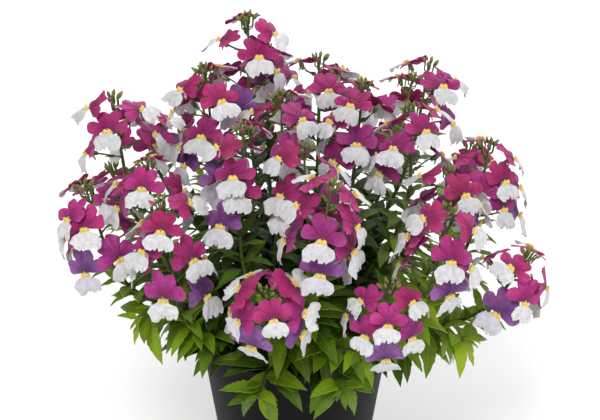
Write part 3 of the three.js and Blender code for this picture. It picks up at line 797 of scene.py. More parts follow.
def primitive(kind, name, material, **settings):
    """A new primitive object with one material."""
    bpy.ops.object.select_all(action="DESELECT")
    getattr(bpy.ops.mesh, f"primitive_{kind}_add")(**settings)
    thing = bpy.context.object
    thing.name = thing.data.name = name
    thing.data.materials.append(MATERIALS[material])
    return thing


def apply_modifier(thing, kind, **settings):
    only(thing)
    modifier = thing.modifiers.new(kind.title(), kind)
    for name, value in settings.items():
        setattr(modifier, name, value)
    bpy.ops.object.modifier_apply(modifier=modifier.name)


def reshape(thing, rule):
    """Moves each point of a mesh to rule(points), with the points as rows."""
    points = np.empty(len(thing.data.vertices) * 3)
    thing.data.vertices.foreach_get("co", points)
    thing.data.vertices.foreach_set("co", np.asarray(rule(points.reshape(-1, 3)), float).ravel())
    thing.data.update()


def bake_place():
    """Carries the place, turn and size of the selected pieces over to their meshes."""
    bpy.ops.object.transform_apply(location=True, rotation=True, scale=True)


def join(name, *things):
    """Joins pieces into the first one. Its place and turn are then in its mesh."""
    only(*things)
    if len(things) > 1:
        bpy.ops.object.join()
    bake_place()
    things[0].name = things[0].data.name = name
    return things[0]


print("Object helpers ready")

# %% Helpers for shaping
def outwards(thing):
    """Points a closed mesh's faces outwards."""
    only(thing)
    bpy.ops.object.mode_set(mode="EDIT")
    bpy.ops.mesh.select_all(action="SELECT")
    bpy.ops.mesh.remove_doubles(threshold=0.005 * MM)
    bpy.ops.mesh.normals_make_consistent(inside=False)
    bpy.ops.object.mode_set(mode="OBJECT")


def pull(move, wider=(1, 1, 1)):
    """Extrudes the selection of edit mode, moves it so many millimetres and then scales it."""
    bpy.ops.mesh.extrude_region_move(TRANSFORM_OT_translate={"value": tuple(n * MM for n in move)})
    bpy.ops.transform.resize(value=wider)


def pick(thing, kind, chosen):
    """Goes to edit mode with the chosen edges or polygons selected, and nothing else."""
    bpy.ops.object.mode_set(mode="EDIT")
    bpy.ops.mesh.select_all(action="DESELECT")
    bpy.ops.object.mode_set(mode="OBJECT")
    for item in getattr(thing.data, kind):
        item.select = chosen(item)
    bpy.ops.object.mode_set(mode="EDIT")
    bpy.ops.mesh.select_mode(type="EDGE" if kind == "edges" else "FACE")


def smooth(thing, degrees):
    only(thing)
    bpy.ops.object.shade_smooth_by_angle(angle=math.radians(degrees))


def frame_of(side, up, front, at, size):
    """The placing of a model whose X, Y and Z become side, up and front, at a point in millimetres."""
    turned = Matrix((side, up, front)).transposed().to_4x4()
    return Matrix.Translation(Vector(at) * MM) @ turned @ Matrix.Scale(size, 4)


print("Modelling helpers ready")

# %% [markdown]
# ## One bloom
# A nemesia bloom has two lips. The upper lip is four rounded lobes that spread like a hand and lean back.
# The lower lip is a broad white apron that juts forward, with a notch and a frilled hem, and hangs from a
# narrow neck. On that neck sit two yellow cushions, the palate, which close the throat. Behind are a short
# tube, a small spur, and a calyx of five green sepals.
#
# A petal could be cut from a plane with a knife, but its lobes would stay flat. Instead a grid is bent by
# one rule that gives the outline, the bulge and the frill. For the upper lip the grid is wrapped round the
# throat: across it becomes the angle and up it the distance. For the lower lip it is drawn down row by row
# from a table of widths. The grid's own map follows the petal, and a Solidify modifier gives it thickness.
# The model is life size, in metres, and faces +Z with its upper lip towards +Y.

# %% The upper lip's rule
THROAT = 1.3
PETAL_THICK = 0.32
LOBES = (24, 78)
LOBE_HALF_WIDTHS = (24.5, 29)


def lobe_places(degrees):
    """For each angle from straight up: which lobe it is in (0 or 1) and how far across it, -1 to 1."""
    angle = np.abs(degrees)
    side_lobe = (angle > LOBES[0] + LOBE_HALF_WIDTHS[0]).astype(int)
    across = (angle - np.take(LOBES, side_lobe)) / np.take(LOBE_HALF_WIDTHS, side_lobe)
    return side_lobe, np.clip(across, -1, 1)


def upper_edge(degrees):
    """The upper lip's reach in millimetres at an angle from straight up: four lobes with notches."""
    side_lobe, across = lobe_places(degrees)
    notch = np.interp(np.abs(degrees), (0, 48, 50, 78, 107), (9.2, 7.8, 7.8, 7.2, 3.4))
    crown = np.where(side_lobe, 12.0, 12.4)
    return notch + (crown - notch) * (1 - np.abs(across) ** 2.4) ** 0.55


def upper_lip_rule(points):
    """Wraps a grid of 36 by 5 round the top of the throat."""
    u, v = points[:, 0] + 0.5, points[:, 1] + 0.5
    degrees = np.interp(u, (0, 9 / 36, 0.5, 27 / 36, 1), (-107, -48.5, 0, 48.5, 107))
    angle = np.radians(degrees)
    _, across = lobe_places(degrees)
    reach = THROAT + (upper_edge(degrees) - THROAT) * v
    lean = np.interp(np.abs(degrees), (0, 24, 48, 78, 107), (-2.6, -3.4, -1.6, -1.2, 0.8))
    lift = 1.5 * (1 - v) ** 2 + lean * v**1.3
    lift += (1.0 * (1 - across**2) - 0.4) * v**2.5 + 0.35 * across * v**3
    lift -= 0.8 * v**4 * (1 - 0.6 * np.abs(across))
    return np.column_stack((np.sin(angle) * reach, np.cos(angle) * reach, lift)) * MM


print("Lobes stand at", LOBES, "degrees on each side")

# %% The lower lip's rule
# Row by row: how far down each row lies, as a share, and half its width in millimetres
LIP_ROWS = (0, 0.09, 0.17, 0.23, 0.3, 0.44, 0.63, 0.83, 1.0)
LIP_HALF_WIDTHS = (2.4, 3.0, 3.4, 5.0, 6.7, 7.8, 8.4, 8.5, 7.8)


def lower_lip_rule(points):
    """Draws a grid of 24 by 8 down from the throat: a neck, square shoulders and a waved hem."""
    across, row = -2 * points[:, 0], points[:, 1] + 0.5
    down = np.interp(row, np.linspace(0, 1, 9), LIP_ROWS)
    hem = 0.6 * np.sin(8.5 * across + 0.9) + 0.45 * np.sin(21 * across)
    hem -= 2.6 * np.exp(-((across / 0.1) ** 2)) + 2.4 * np.abs(across) ** 5
    lift = 1.4 * (1 - down) + 4.3 * down**0.8 + 1.2 * np.sin(math.pi * down**0.7) * (1 - 0.6 * across**2)
    lift += 0.45 * down**3 * np.sin(7 * across + 0.8) - 0.9 * down**5 - 0.5 * down * np.abs(across) ** 2.5
    wide = across * np.interp(down, LIP_ROWS, LIP_HALF_WIDTHS) * (1 + 0.05 * np.sin(17 * down + 2 * across))
    return np.column_stack((wide, -0.4 - 11.6 * down - hem * down**3, lift)) * MM


print("The lower lip has", len(LIP_ROWS), "rows")

# %% Both lips, with a thickness
def petal(name, material, columns, rows, rule):
    """A grid bent by a rule, with a thickness."""
    sheet = primitive("grid", name, material, x_subdivisions=columns, y_subdivisions=rows, size=1.0)
    reshape(sheet, rule)
    apply_modifier(sheet, "SOLIDIFY", thickness=PETAL_THICK * MM, offset=-1.0)
    smooth(sheet, 60)
    return sheet


upper_lip = petal("upper_lip", "upper", 36, 5, upper_lip_rule)
lower_lip = petal("lower_lip", "lower", 24, 8, lower_lip_rule)
print("Petal faces:", len(upper_lip.data.polygons), "and", len(lower_lip.data.polygons))

# %% [markdown]
# The palate's two cushions are spheres, squashed and tipped towards the throat. The tube is a cylinder
# whose far end is scaled down in edit mode, and the spur is a cone. A sepal is a cube that is drawn out
# to a blade: extruded twice and scaled to a point. Five of them stand round the tube.

# %% The palate's cushions
def scaled(thing, place, size=(1, 1, 1), turn=(0, 0, 0)):
    """Puts a model at a place in millimetres and bakes its place, turn and size into its mesh."""
    thing.location = Vector(place) * MM
    thing.scale = size
    thing.rotation_euler = [math.radians(a) for a in turn]
    only(thing)
    bake_place()
    return thing


cushions = []
for side in (-1, 1):
    cushion = primitive("uv_sphere", f"palate_{side}", "palate", segments=10, ring_count=6, radius=MM)
    scaled(cushion, (1.2 * side, -1.0, 2.7), (1.4, 1.6, 0.9), (25, 0, 10 * side))
    smooth(cushion, 180)
    cushions.append(cushion)
print(len(cushions), "cushions")

# %% Tube and spur
tube = primitive(
    "cylinder", "flower_tube", "tube", vertices=10, radius=THROAT * MM, depth=2 * MM, end_fill_type="NOTHING",
)
pick(tube, "edges", lambda edge: all(tube.data.vertices[i].co.z < 0 for i in edge.vertices))
for down, wider in ((1.6, 1.0), (1.4, 0.7)):
    pull((0, 0, -down), (wider, wider, 1))
bpy.ops.object.mode_set(mode="OBJECT")
apply_modifier(tube, "SOLIDIFY", thickness=0.3 * MM, offset=-1.0)
smooth(tube, 60)

spur = primitive("cone", "spur", "tube", vertices=6, radius1=1.0 * MM, radius2=0.35 * MM, depth=4.2 * MM)
scaled(spur, (0, -2.4, -2.9), turn=(128, 0, 0))
smooth(spur, 70)
print("Tube and spur faces:", len(tube.data.polygons), "and", len(spur.data.polygons))

# %% Calyx, and the bloom in one piece
def sepal(turn):
    """A green blade behind the petals, turned round the tube."""
    blade = primitive("cube", "sepal", "stem", size=MM)
    bpy.ops.object.mode_set(mode="EDIT")
    bpy.ops.mesh.select_all(action="SELECT")
    bpy.ops.transform.resize(value=(0.9, 0.35, 0.8))
    bpy.ops.object.mode_set(mode="OBJECT")
    pick(blade, "polygons", lambda face: face.normal.z > 0.9)
    for up, narrower, thinner in ((1.8, 1.25, 1), (2.0, 0.12, 0.4)):
        pull((0, 0.35, up), (narrower, thinner, 1))
    bpy.ops.object.mode_set(mode="OBJECT")
    scaled(blade, (0, 0.9, -4.6))
    blade.rotation_euler = (0, 0, math.radians(turn))
    return blade


sepals = [sepal(36 + 72 * i) for i in range(5)]
bloom_model = join("bloom_model", upper_lip, lower_lip, *cushions, tube, spur, *sepals)
print("A bloom has", len(bloom_model.data.polygons), "faces")

# %% [markdown]
# ## One leaf and one bud
# A leaf is a lance-shaped blade with a few forward teeth. A grid is again the start: Y runs from foot to
# tip and X across. Its outline is an arch times a saw that rises to each tooth and drops behind it. It
# stays flat and one unit long here, because every leaf has its own length, arch and fold, which are given
# when it is placed. Small leaves come from a grid with fewer faces.
#
# A bud is a sphere drawn out to a drop, with its foot at the origin. It is slimmed when it is placed.

# %% Leaf and bud models
def leaf_width(share, teeth):
    """Half the blade's width at a share of its length, 0 to 1, with forward teeth."""
    blade = np.sin(math.pi * np.clip(share, 0, 1) ** 0.9)
    saw = np.clip((share - 0.2) * teeth / 0.68, 0, teeth) % 1.0
    toothed = (share > 0.2) & (share < 0.88)
    return blade * np.where(toothed, 0.86 + 0.17 * saw, 0.9)


def leaf_model(name, across, along, teeth):
    """A flat leaf, one unit long, with so many faces across and along it."""
    sheet = primitive("grid", name, "leaf", x_subdivisions=across, y_subdivisions=along, size=1.0)

    def rule(points):
        share = points[:, 1] + 0.5
        return np.column_stack((points[:, 0] * 2 * leaf_width(share, teeth), share, 0 * share))

    reshape(sheet, rule)
    return sheet


def drop(points):
    """A unit ball as a drop: full below, slimmer above, standing on the origin."""
    slim = 1 - 0.7 * np.clip(points[:, 2:], 0, 1)
    return points * (slim * (1, 1, 0) + (0, 0, 1)) + (0, 0, 0.5)


large_leaf = leaf_model("large_leaf_model", 4, 24, 5)
small_leaf = leaf_model("small_leaf_model", 2, 9, 3)
bud_model = primitive("uv_sphere", "bud_model", "bud", segments=8, ring_count=6, radius=0.5)
reshape(bud_model, drop)
smooth(bud_model, 180)
print("Leaf faces:", len(large_leaf.data.polygons), "and", len(small_leaf.data.polygons))

# %% [markdown]
# ## Stems with their leaves
# A young nemesia stem is a thin green stalk, ribbed and about 2.5 mm across, that narrows as it climbs. A
# tube could be extruded ring by ring along its path, but Blender's curve with a round bevel makes the same
# in one step, and each point's radius gives the taper. It is then made a mesh. The solids' stems are
# straight between their knots, so the path is eased: it touches the middle of each straight piece, where
# a pair of leaves stands, and rounds each corner.

# %% Tubes along a path
def eased(knots, steps=5):
    """A soft path along straight pieces, which touches the middle of each one."""
    middles = [(a + b) / 2 for a, b in zip(knots, knots[1:])]
    path = [knots[0]]
    for before, corner, after in zip(middles, knots[1:], middles[1:]):
        for k in range(steps):
            t = k / steps
            path.append(before * (1 - t) ** 2 + corner * 2 * t * (1 - t) + after * t * t)
    return path + [middles[-1], knots[-1]]


def stalk_tube(name, path, foot, top, rounds=1):
    """A tube along a path in millimetres, from a foot radius to a top radius."""
    curve = bpy.data.curves.new(name, "CURVE")
    curve.dimensions = "3D"
    curve.bevel_depth = MM
    curve.bevel_resolution = rounds
    curve.use_fill_caps = True
    spline = curve.splines.new("POLY")
    spline.points.add(len(path) - 1)
    for i, (point, place) in enumerate(zip(spline.points, path)):
        point.co = (*(place * MM), 1)
        point.radius = foot + (top - foot) * i / (len(path) - 1)
    curve.materials.append(MATERIALS["stem"])
    thing = bpy.data.objects.new(name, curve)
    bpy.context.collection.objects.link(thing)
    only(thing)
    bpy.ops.object.convert(target="MESH")
    smooth(thing, 70)
    return thing


def copy_of(model, name):
    """A copy with its own mesh."""
    twin = model.copy()
    twin.data = model.data.copy()
    twin.name = twin.data.name = name
    bpy.context.collection.objects.link(twin)
    return twin


def write_value(thing, name, value):
    """Writes one number on all of a mesh's points, for its material to read as an attribute."""
    layer = thing.data.attributes.new(name, "FLOAT", "POINT")
    layer.data.foreach_set("value", [value] * len(thing.data.vertices))


print("Tube and copy helpers ready")

# %% [markdown]
# The solids hold every large leaf. Between them a real nemesia has many smaller ones, here 30 mm long at
# most, in the axils of the large leaves and up each stalk to just below the flowers. They are laid in the
# same way as the large ones, wherever there is still room, so they keep clear of flowers and other leaves.

# %% Small leaves where there is room
SMALL_CLEARANCE, SMALL_LEAF_LIMIT = 1.8, 30.0
GOLDEN_TURN = 137.5  # Each young leaf or bud stands this angle round the stalk from the last
FULL_OR_SHORTER = (1, 0.62)
FAN_SWAYS = (
    (0, 0), (18, 0), (-18, 0), (0, 22), (0, -22), (32, 16), (-32, 16), (40, -12), (-40, -12), (0, -45),
)


def try_leaf(at, way, spin, rise, length, droop, owner, own):
    """The first way to lay a leaf there that keeps clear of the pot and of all that grows round it."""
    return first_free([
        leaf_at(at, way, spin + turn, rise + lift, length * share, droop)
        for share in FULL_OR_SHORTER for turn, lift in FAN_SWAYS
    ], owner, own, SMALL_CLEARANCE)


def lay_small_leaves(plant, number, owner, flowering):
    """Pairs of leaves up each stalk, shorter as they climb, and a tuft at the tip of a shoot.

    A flowering stem has four places to each of its nodes, a shoot only one.
    """
    draw = stream(400 + number)
    own = Room(CLEARANCE)
    for leaf in plant["leaves"]:
        own.claim(leaf_samples(leaf), owner)
    found = []
    for knots in plant["paths"]:
        nodes = len(knots) - 1
        places = (4 if flowering else 1) * nodes
        for place in range(2, places):
            node, part = divmod(place * nodes / places + 0.1, 1)
            low, high = knots[int(node)], knots[int(node) + 1]
            at, way = low + (high - low) * part, unit(high - low)
            share = place / places
            length = (34 - 18 * share) * (0.8 + 0.35 * next(draw))
            length = min(SMALL_LEAF_LIMIT, length)
            spin = 90 * place + 40 * (next(draw) - 0.5)
            droop = 0.2 + 0.35 * next(draw)
            for half in (0, 180):
                leaf = try_leaf(at, way, spin + half, 38, length, droop, owner, own)
                found += [leaf] if leaf else []
        found += [] if flowering else lay_rosette(knots, draw, owner, own)
    return found


def lay_rosette(knots, draw, owner, own):
    """The growing tip of a shoot without flowers: a tuft of young leaves."""
    tip, way = knots[-1], unit(knots[-1] - knots[-2])
    found = []
    for k in range(6):
        length = (9 + 3 * k) * (0.75 + 0.5 * next(draw))
        rise = 66 - 6 * k + 30 * (next(draw) - 0.5)
        droop = 0.1 + 0.4 * next(draw)
        leaf = try_leaf(tip - way * 1.2 * k, way, GOLDEN_TURN * k, rise, length, droop, owner, own)
        found += [leaf] if leaf else []
    return found


for index, plan in enumerate(shoots):
    plan["small"] = lay_small_leaves(plan, 50 + index, f"shoot {index}", False)
for index, plan in enumerate(stems):
    plan["small"] = lay_small_leaves(plan, index, f"stem {index}", True)
print(sum(len(s["small"]) for s in stems + shoots), "small leaves laid")

# %% Placing a leaf
# Leaves are painted darkest, as shade, within 28 mm of the bush's middle, and 75 mm further out they are
# painted as full in the light.
PAINTED_SHADE_HEART, PAINTED_LIGHT_DEPTH = 28, 75


def placed_leaf(model, leaf, name, draw):
    """Bends a copy of a leaf model to the arch, fold and place of one leaf."""
    blade = copy_of(model, name)
    wave = next(draw) * math.tau

    def rule(points):
        share, across = points[:, 1], points[:, 0] * leaf["length"] * LEAF_WIDTH / 2
        quilt = 0.3 * np.sin(share * math.tau * 6 - np.abs(points[:, 0]) * 2.5) * np.abs(points[:, 0])
        ripple = 0.5 * points[:, 0] * np.sin(share * 9 + wave) * (share > 0.05)
        return leaf_points(leaf, share, across, quilt + ripple) * MM

    reshape(blade, rule)
    # Painted light and shade: the leaf's colour number grows with its distance from the bush's middle, plus a
    # random tone.
    middle = leaf["at"] + leaf["along"] * leaf["length"] * 0.6
    painted_light = (math.hypot(middle[0], middle[1]) - PAINTED_SHADE_HEART) / PAINTED_LIGHT_DEPTH
    painted_light_and_tone = 0.08 + 0.68 * painted_light + 0.3 * (next(draw) - 0.5)
    write_value(blade, "painted_light_and_tone", min(1.0, max(0.0, painted_light_and_tone)))
    return blade


print("Leaf models are laid flat, and bent as they are placed")

# %% Dressing the stems and shoots
def dress_stem(name, node, plan, seed):
    """One leafy stem: its stalks, then its leaves with a thickness, joined and set in for its solid."""
    draw = stream(seed)
    blades = [placed_leaf(large_leaf, leaf, "leaf", draw) for leaf in plan["leaves"]]
    blades += [placed_leaf(small_leaf, leaf, "leaf", draw) for leaf in plan["small"]]
    foliage = join(f"{name}_leaves", *blades)
    apply_modifier(foliage, "SOLIDIFY", thickness=0.45 * MM, offset=0.0)
    smooth(foliage, 60)
    stalks = [
        stalk_tube(f"{name}_stalk_{branch}", eased(knots), 1.5 - 0.2 * branch, 1.1)
        for branch, knots in enumerate(plan["paths"])
    ]
    piece = join(name, *stalks, foliage)
    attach(piece, "root")
    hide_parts(node)
    return piece


dressed = []
for index, plan in enumerate(stems, 1):
    dressed.append(dress_stem(f"nemesia_stem_{index:02d}", f"leafy_stem_{index:02d}", plan, 700 + index))
for index, plan in enumerate(shoots, 1):
    dressed.append(dress_stem(f"nemesia_shoot_{index:02d}", f"leafy_shoot_{index:02d}", plan, 800 + index))
print(len(dressed), "leafy pieces with", sum(len(d.data.polygons) for d in dressed), "faces")

# %% [markdown]
# ## Flower heads
# A head is a raceme: the stalk goes on as a rachis, blooms stand out from it on thin pedicels, oldest and
# most violet at the bottom, and unopened buds crowd at its top. Each pedicel leaves the rachis above a
# small bract. The bloom is copied with its own mesh and set down where its solid stands, with a small roll
# and change of size of its own. Its age and its tint are written on it for the petals' colour: low flowers,
# and some others at random, are a lighter pink with a whiter lower lip.

# %% How many blooms of each head have turned violet
VIOLET = (2, 2, 2, 2, 1, 1, 2, 1, 1, 1, 1, 1, 1, 0, 1, 1, 2, 1, 0, 2, 1, 0, 0, 1, 0, 1, 0, 1, 0, 1)


def bloom_age(head, order, count, draw):
    """0 for a fresh flower to 1 for one that fades."""
    late = order - (count - VIOLET[head])
    if late >= 0:
        return 0.66 + 0.2 * (late + 1) / VIOLET[head] + 0.1 * draw
    return 0.02 + 0.3 * order / count + 0.2 * draw


print("Up to", sum(VIOLET), "blooms turn violet")

# %% Blooms of their own shape, on pedicels
def crumpled(points, crease):
    """Gives a bloom waves and a hem of its own, which both grow from the throat outwards."""
    reach = np.hypot(points[:, 0], points[:, 1]) / (12 * MM)
    turn = np.arctan2(points[:, 0], points[:, 1])
    wave = np.sin(2 * turn + crease) * 1.2 + np.sin(5 * turn + 2.3 * crease) * 0.7
    wave += np.sin(11 * turn - crease) * 0.4
    wander = 1 + reach * (0.05 * np.sin(3 * turn + 1.7 * crease) + 0.03 * np.sin(8 * turn + 2.9 * crease))
    moved = points * np.column_stack((wander, wander, np.ones_like(wander)))
    moved[:, 2] += wave * reach**2 * MM
    return moved


def pedicel(bloom, axis):
    """A thin stalk that leaves the rachis outwards and comes up behind the flower."""
    start = bloom["at"] - bloom["front"] * 4.0 * bloom["size"]
    root = bloom["root"]
    curve = Stalk(root, root + bloom["out"] * 4 + axis * 1.5, start - bloom["front"] * 4.5, start)
    return stalk_tube("pedicel", [curve.at(i / 6) for i in range(7)], 0.5, 0.55, rounds=0)


print("Bloom helpers ready")

# %% Buds round the tip
BUDS = 10


def pierces(foot, end, bloom):
    """Whether something that grows from foot to end would come through a flower's upper lip."""
    below, above = ((place - bloom["at"]) @ bloom["front"] for place in (foot, end))
    if below > 1.5 or above < -1.5:
        return False
    middle = (foot + end) / 2 - bloom["at"]
    return np.linalg.norm(middle) < 12.5 * bloom["size"] and middle @ bloom["up"] > -2


def crown_of_buds(axis, tip, blooms, draw):
    """Buds in a spiral round the tip, the smallest in the middle, where no petal is in their way."""
    across = square_to(axis, np.array((1.0, 0.3, 0.2)))
    other = np.cross(axis, across)
    pieces = []
    for k in range(BUDS):
        share = k / (BUDS - 1)
        way_out = turn_to(across, other, GOLDEN_TURN * k)
        foot = tip + axis * (3.6 - 3.6 * share) + way_out * (0.3 + 3.2 * math.sqrt(share))
        way = unit(axis * (1.2 - 0.6 * share) + way_out * (0.25 + 0.5 * share))
        side = square_to(way, way_out + axis * 0.1)
        length = (2.8 + 2.8 * share) * (0.85 + 0.3 * next(draw))
        if any(pierces(foot, foot + way * length, bloom) for bloom in blooms):
            continue
        bud_piece = copy_of(bud_model, "bud")
        bud_piece.matrix_world = frame_of(side, np.cross(way, side), way, foot, MM) @ Matrix.Diagonal(
            (length * 0.44, length * 0.44, length, 1)
        )
        write_value(bud_piece, "age", share * next(draw))
        pieces.append(bud_piece)
        if share > 0.15:
            start = tip - axis * (1.0 + 5.0 * share)
            bend = start + axis * 1.5 + way_out * (1.5 + 2 * share)
            pieces.append(stalk_tube("bud_stalk", [start, bend, foot + way * 0.4], 0.4, 0.5, rounds=0))
    return pieces


print("Up to", BUDS, "buds to a head")

# %% Dressing the heads
# Blooms below 232 mm get a lighter tint, more and more so over 60 mm. Each has a roll, nod and swing of its
# own, within a span of so many degrees.
LOW_START, LOW_DEPTH = 232, 60
ROLL_NOD_SWING = (20, 22, 22)


def dress_head(number, plan):
    """One flower head: rachis, bracts, blooms on their pedicels and buds, joined and set in."""
    axis, tip, base = plan["axis"], plan["tip"], plan["base"]
    draw = stream(900 + number)
    count = len(HEADS[number][4])
    rachis = stalk_tube("rachis", [base - axis * 1.2, (base + tip) / 2, tip + axis * 3.5], 1.1, 0.6)
    pieces, bracts = [], []
    for bloom in plan["blooms"]:
        flower = copy_of(bloom_model, "bloom")
        roll, nod, swing = (span * (next(draw) - 0.5) for span in ROLL_NOD_SWING)
        side = np.cross(bloom["up"], bloom["front"])
        front = turn_to(turn_to(bloom["front"], bloom["up"], nod), side, swing)
        up = square_to(front, turn_to(bloom["up"], side, roll))
        size = bloom["size"] * (0.95 + 0.08 * next(draw))
        flower.matrix_world = frame_of(np.cross(up, front), up, front, bloom["at"], size)
        crease = next(draw) * math.tau
        reshape(flower, lambda points: crumpled(points, crease))
        write_value(flower, "age", bloom_age(number, bloom["order"], count, next(draw)))
        low = min(1.0, max(0.0, (LOW_START - bloom["at"][2]) / LOW_DEPTH))
        write_value(flower, "tint", 0.35 * low + 0.6 * next(draw) ** 1.5)
        pieces += [flower, pedicel(bloom, axis)]
        along = turn_to(bloom["out"], axis, 35)
        bract = {
            "at": bloom["root"] - axis * 0.6, "along": along, "face": square_to(along, axis), "droop": 0.3,
            "length": 7.5 + 3 * next(draw),
        }
        bract["side"] = np.cross(bract["face"], along)
        bracts.append(placed_leaf(small_leaf, bract, "bract", draw))
    leaves = join("bracts", *bracts)
    apply_modifier(leaves, "SOLIDIFY", thickness=0.4 * MM, offset=0.0)
    buds = crown_of_buds(axis, tip, plan["blooms"], draw)
    head = join(f"nemesia_head_{number + 1:02d}", rachis, leaves, *pieces, *buds)
    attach(head, "root")
    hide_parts(f"flower_head_{number + 1:02d}")
    return head


head_pieces = [dress_head(number, plan) for number, plan in enumerate(heads)]
print(len(head_pieces), "heads with", sum(len(h.data.polygons) for h in head_pieces), "faces")

# %% Put the models away
for model in (bloom_model, large_leaf, small_leaf, bud_model):
    bpy.data.objects.remove(model)
print("The models are removed, because their copies stand on the plant")

# %% [markdown]
# ## The pot
# A nursery pot is one thin moulding: a flat floor with drain holes, a tapered wall, and a collar that
# stands out at the top for stacking. A lathe would give it in one turn, but pulling it up ring by ring is
# just as quick and every size stays plain: a filled circle is extruded and scaled at each change of the
# wall, over the rim and down the inside. A small bevel rounds the edges as the mould does.

# %% The pot, pulled up ring by ring
# Each step is a height and a radius in millimetres: up the wall, round the collar and down the inside.
POT_STEPS = (
    (90.0, 54.5), (90.0, 57.9), (104.2, 59.7), (105.0, 59.9),
    (105.0, 58.3), (91.8, 56.1), (91.8, 52.7), (1.8, 39.2),
)
DRAIN_HOLES, DRAIN_RADIUS, DRAIN_REACH = 4, 4.5, 27
pot = primitive("circle", "nursery_pot", "pot", vertices=96, radius=41 * MM, fill_type="NGON")
bpy.ops.object.mode_set(mode="EDIT")
height, radius = 0.0, 41.0
for new_height, new_radius in POT_STEPS:
    pull((0, 0, new_height - height), (new_radius / radius, new_radius / radius, 1))
    height, radius = new_height, new_radius
bpy.ops.object.mode_set(mode="OBJECT")
outwards(pot)
apply_modifier(pot, "BEVEL", width=0.5 * MM, segments=2, limit_method="ANGLE", angle_limit=math.radians(30))

for i in range(DRAIN_HOLES):
    drill = primitive("cylinder", "drill", "pot", vertices=24, radius=DRAIN_RADIUS * MM, depth=12 * MM)
    drill.location = compass(i * 360 / DRAIN_HOLES) * DRAIN_REACH * MM
    apply_modifier(pot, "BOOLEAN", object=drill, operation="DIFFERENCE", solver="EXACT")
    bpy.data.objects.remove(drill)
smooth(pot, 40)
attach(pot, "root")
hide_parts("pot")
print("Pot faces:", len(pot.data.polygons))

# %% [markdown]
# ## The soil
# Potting soil settles into a shallow, uneven crown between the stems, with loose crumbs of bark and a few
# grains of perlite on top. The body is pulled up from a circle too, and its top is inset ring by ring, so
# that it has enough points to be pushed up and down by a noise. Crumbs are low, squashed icospheres.

# %% The soil's body
FOOT_RADIUS, TOP_RADIUS = 38.2, 51.8
RINGS, RING_WIDTH = 16, 3.1
SOIL_RADIUS = 52
soil = primitive(
    "circle", "potting_soil", "soil", vertices=72, radius=FOOT_RADIUS * MM, fill_type="NGON",
    location=(0, 0, (WALL + GAP) * MM),
)
bpy.ops.object.mode_set(mode="EDIT")
pull((0, 0, SOIL_EDGE - WALL - GAP), (TOP_RADIUS / FOOT_RADIUS, TOP_RADIUS / FOOT_RADIUS, 1))
for _ in range(RINGS):
    bpy.ops.mesh.inset(thickness=RING_WIDTH * MM)
bpy.ops.mesh.poke()
bpy.ops.object.mode_set(mode="OBJECT")
join("potting_soil", soil)


def soil_height(x, y):
    """The soil's surface in millimetres: a crown with lumps of about 9 mm and 3 mm."""
    radius = math.hypot(x, y)
    crown = (SOIL_CROWN - SOIL_EDGE) * (1 - (radius / SOIL_RADIUS) ** 2)
    lumps = 1.1 * noise.noise(Vector((x, y, 3)) / 9) + 0.6 * noise.noise(Vector((x, y, 7)) / 3)
    return SOIL_EDGE + crown + lumps * min(1.0, (SOIL_RADIUS - radius) / 6 + 0.3)


def heap(points):
    """Moves the points of the soil's top to its surface."""
    raised = points.copy()
    for row in raised:
        if row[2] > (SOIL_EDGE - 0.1) * MM:
            row[2] = soil_height(row[0] / MM, row[1] / MM) * MM
    return raised


reshape(soil, heap)
smooth(soil, 60)
print("Soil faces:", len(soil.data.polygons))

# %% Crumbs and perlite on the soil
CRUMBS, ONE_PALE_IN = 420, 14
draw = stream(77)
crumb_model = primitive("ico_sphere", "crumb_model", "soil", subdivisions=1, radius=0.5)
pale_model = primitive("ico_sphere", "pale_model", "perlite", subdivisions=1, radius=0.5)
crumbs = []
for k in range(CRUMBS):
    radius, turn = 50 * math.sqrt(next(draw)), math.tau * next(draw)
    x, y = radius * math.cos(turn), radius * math.sin(turn)
    crumb = copy_of(pale_model if k % ONE_PALE_IN == 0 else crumb_model, "crumb")
    size = 1.0 + 2.0 * next(draw) ** 2
    crumb.matrix_world = (
        Matrix.Translation(Vector((x, y, soil_height(x, y) + 0.1 * size)) * MM)
        @ Matrix.Rotation(next(draw) * math.tau, 4, "Z") @ Matrix.Rotation(next(draw) * 1.2, 4, "X")
        @ Matrix.Diagonal((1.3 * size * MM, 0.9 * size * MM, 0.65 * size * MM, 1))
    )
    crumbs.append(crumb)
for model in (crumb_model, pale_model):
    bpy.data.objects.remove(model)
soil = join("potting_soil", soil, *crumbs)
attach(soil, "root")
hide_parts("soil")
print("Soil and crumbs:", len(soil.data.polygons), "faces")

# %% [markdown]
# ## Stage, light and camera
# The plant stands on a plain pale floor in soft light, as in a catalogue picture. A broad lamp above the
# front, a little to the left, gives the petals their form, and a weaker one from the right fills the shade.
# A large one behind lightens the floor where the plant shades it, and a pale sky keeps the inside of the
# bush from going black. The camera looks down by 26 degrees from about a metre away, through a long lens,
# so the pot keeps its true taper.

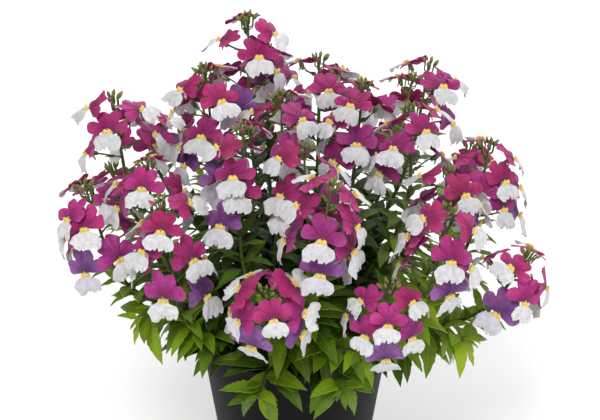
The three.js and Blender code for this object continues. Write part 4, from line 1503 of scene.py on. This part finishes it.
# %% Floor
MATERIALS["floor"] = mottled(
    "matt_white_board", 600.0, 2.0, ((0.3, "#f8f8f8"), (0.7, "#fbfbfb")), Roughness=0.9,
)
floor = primitive("plane", "studio_floor", "floor", size=12)
print("Floor of", round(floor.dimensions.x, 1), "m")

# %% Lamps and sky
LAMPS_AIM = Vector((0, 0, 0.17))


def lamp(name, place, size, power, tint):
    """A round lamp, size across in metres and power in watts, that shines on the middle of the plant."""
    light = bpy.data.lights.new(name, "AREA")
    light.shape = "DISK"
    light.size = size
    light.energy = power
    light.color = tint
    holder = bpy.data.objects.new(name, light)
    bpy.context.collection.objects.link(holder)
    holder.location = place
    holder.rotation_euler = (LAMPS_AIM - Vector(place)).to_track_quat("-Z", "Y").to_euler()


lamp("key_lamp", (-0.3, -1.45, 1.8), 0.8, 28.5, (1.0, 0.99, 0.97))
lamp("fill_lamp", (1.4, -1.0, 1.1), 1.4, 8, (0.97, 0.98, 1.0))
lamp("back_lamp", (0.4, 1.5, 1.6), 1.8, 27, (1.0, 1.0, 1.0))
sky = bpy.data.worlds.new("studio_sky")
bpy.context.scene.world = sky
sky.use_nodes = True
background = sky.node_tree.nodes["Background"].inputs
background["Color"].default_value = (1.0, 1.0, 1.0, 1.0)
background["Strength"].default_value = 0.48
bpy.context.scene.view_settings.view_transform = "Standard"
print("Three lamps and a sky")

# %% Camera
RIM_CENTRE = Vector((0, 0, POT_HEIGHT * MM))
DISTANCE, STANDS_ABOVE = 1.1, math.radians(29.5)
LOOKS_DOWN, LOOKS_ASIDE = 25.977, -0.186
camera_data = bpy.data.cameras.new("camera")
camera_data.sensor_width = 36.0
camera_data.lens = 111.1
camera = bpy.data.objects.new("camera", camera_data)
bpy.context.collection.objects.link(camera)
away = Vector((0, -math.cos(STANDS_ABOVE), math.sin(STANDS_ABOVE)))
camera.location = RIM_CENTRE + away * DISTANCE
camera.rotation_euler = (math.radians(90 - LOOKS_DOWN), 0, math.radians(LOOKS_ASIDE))
bpy.context.scene.camera = camera
print("Camera at", [round(c, 3) for c in camera.location])
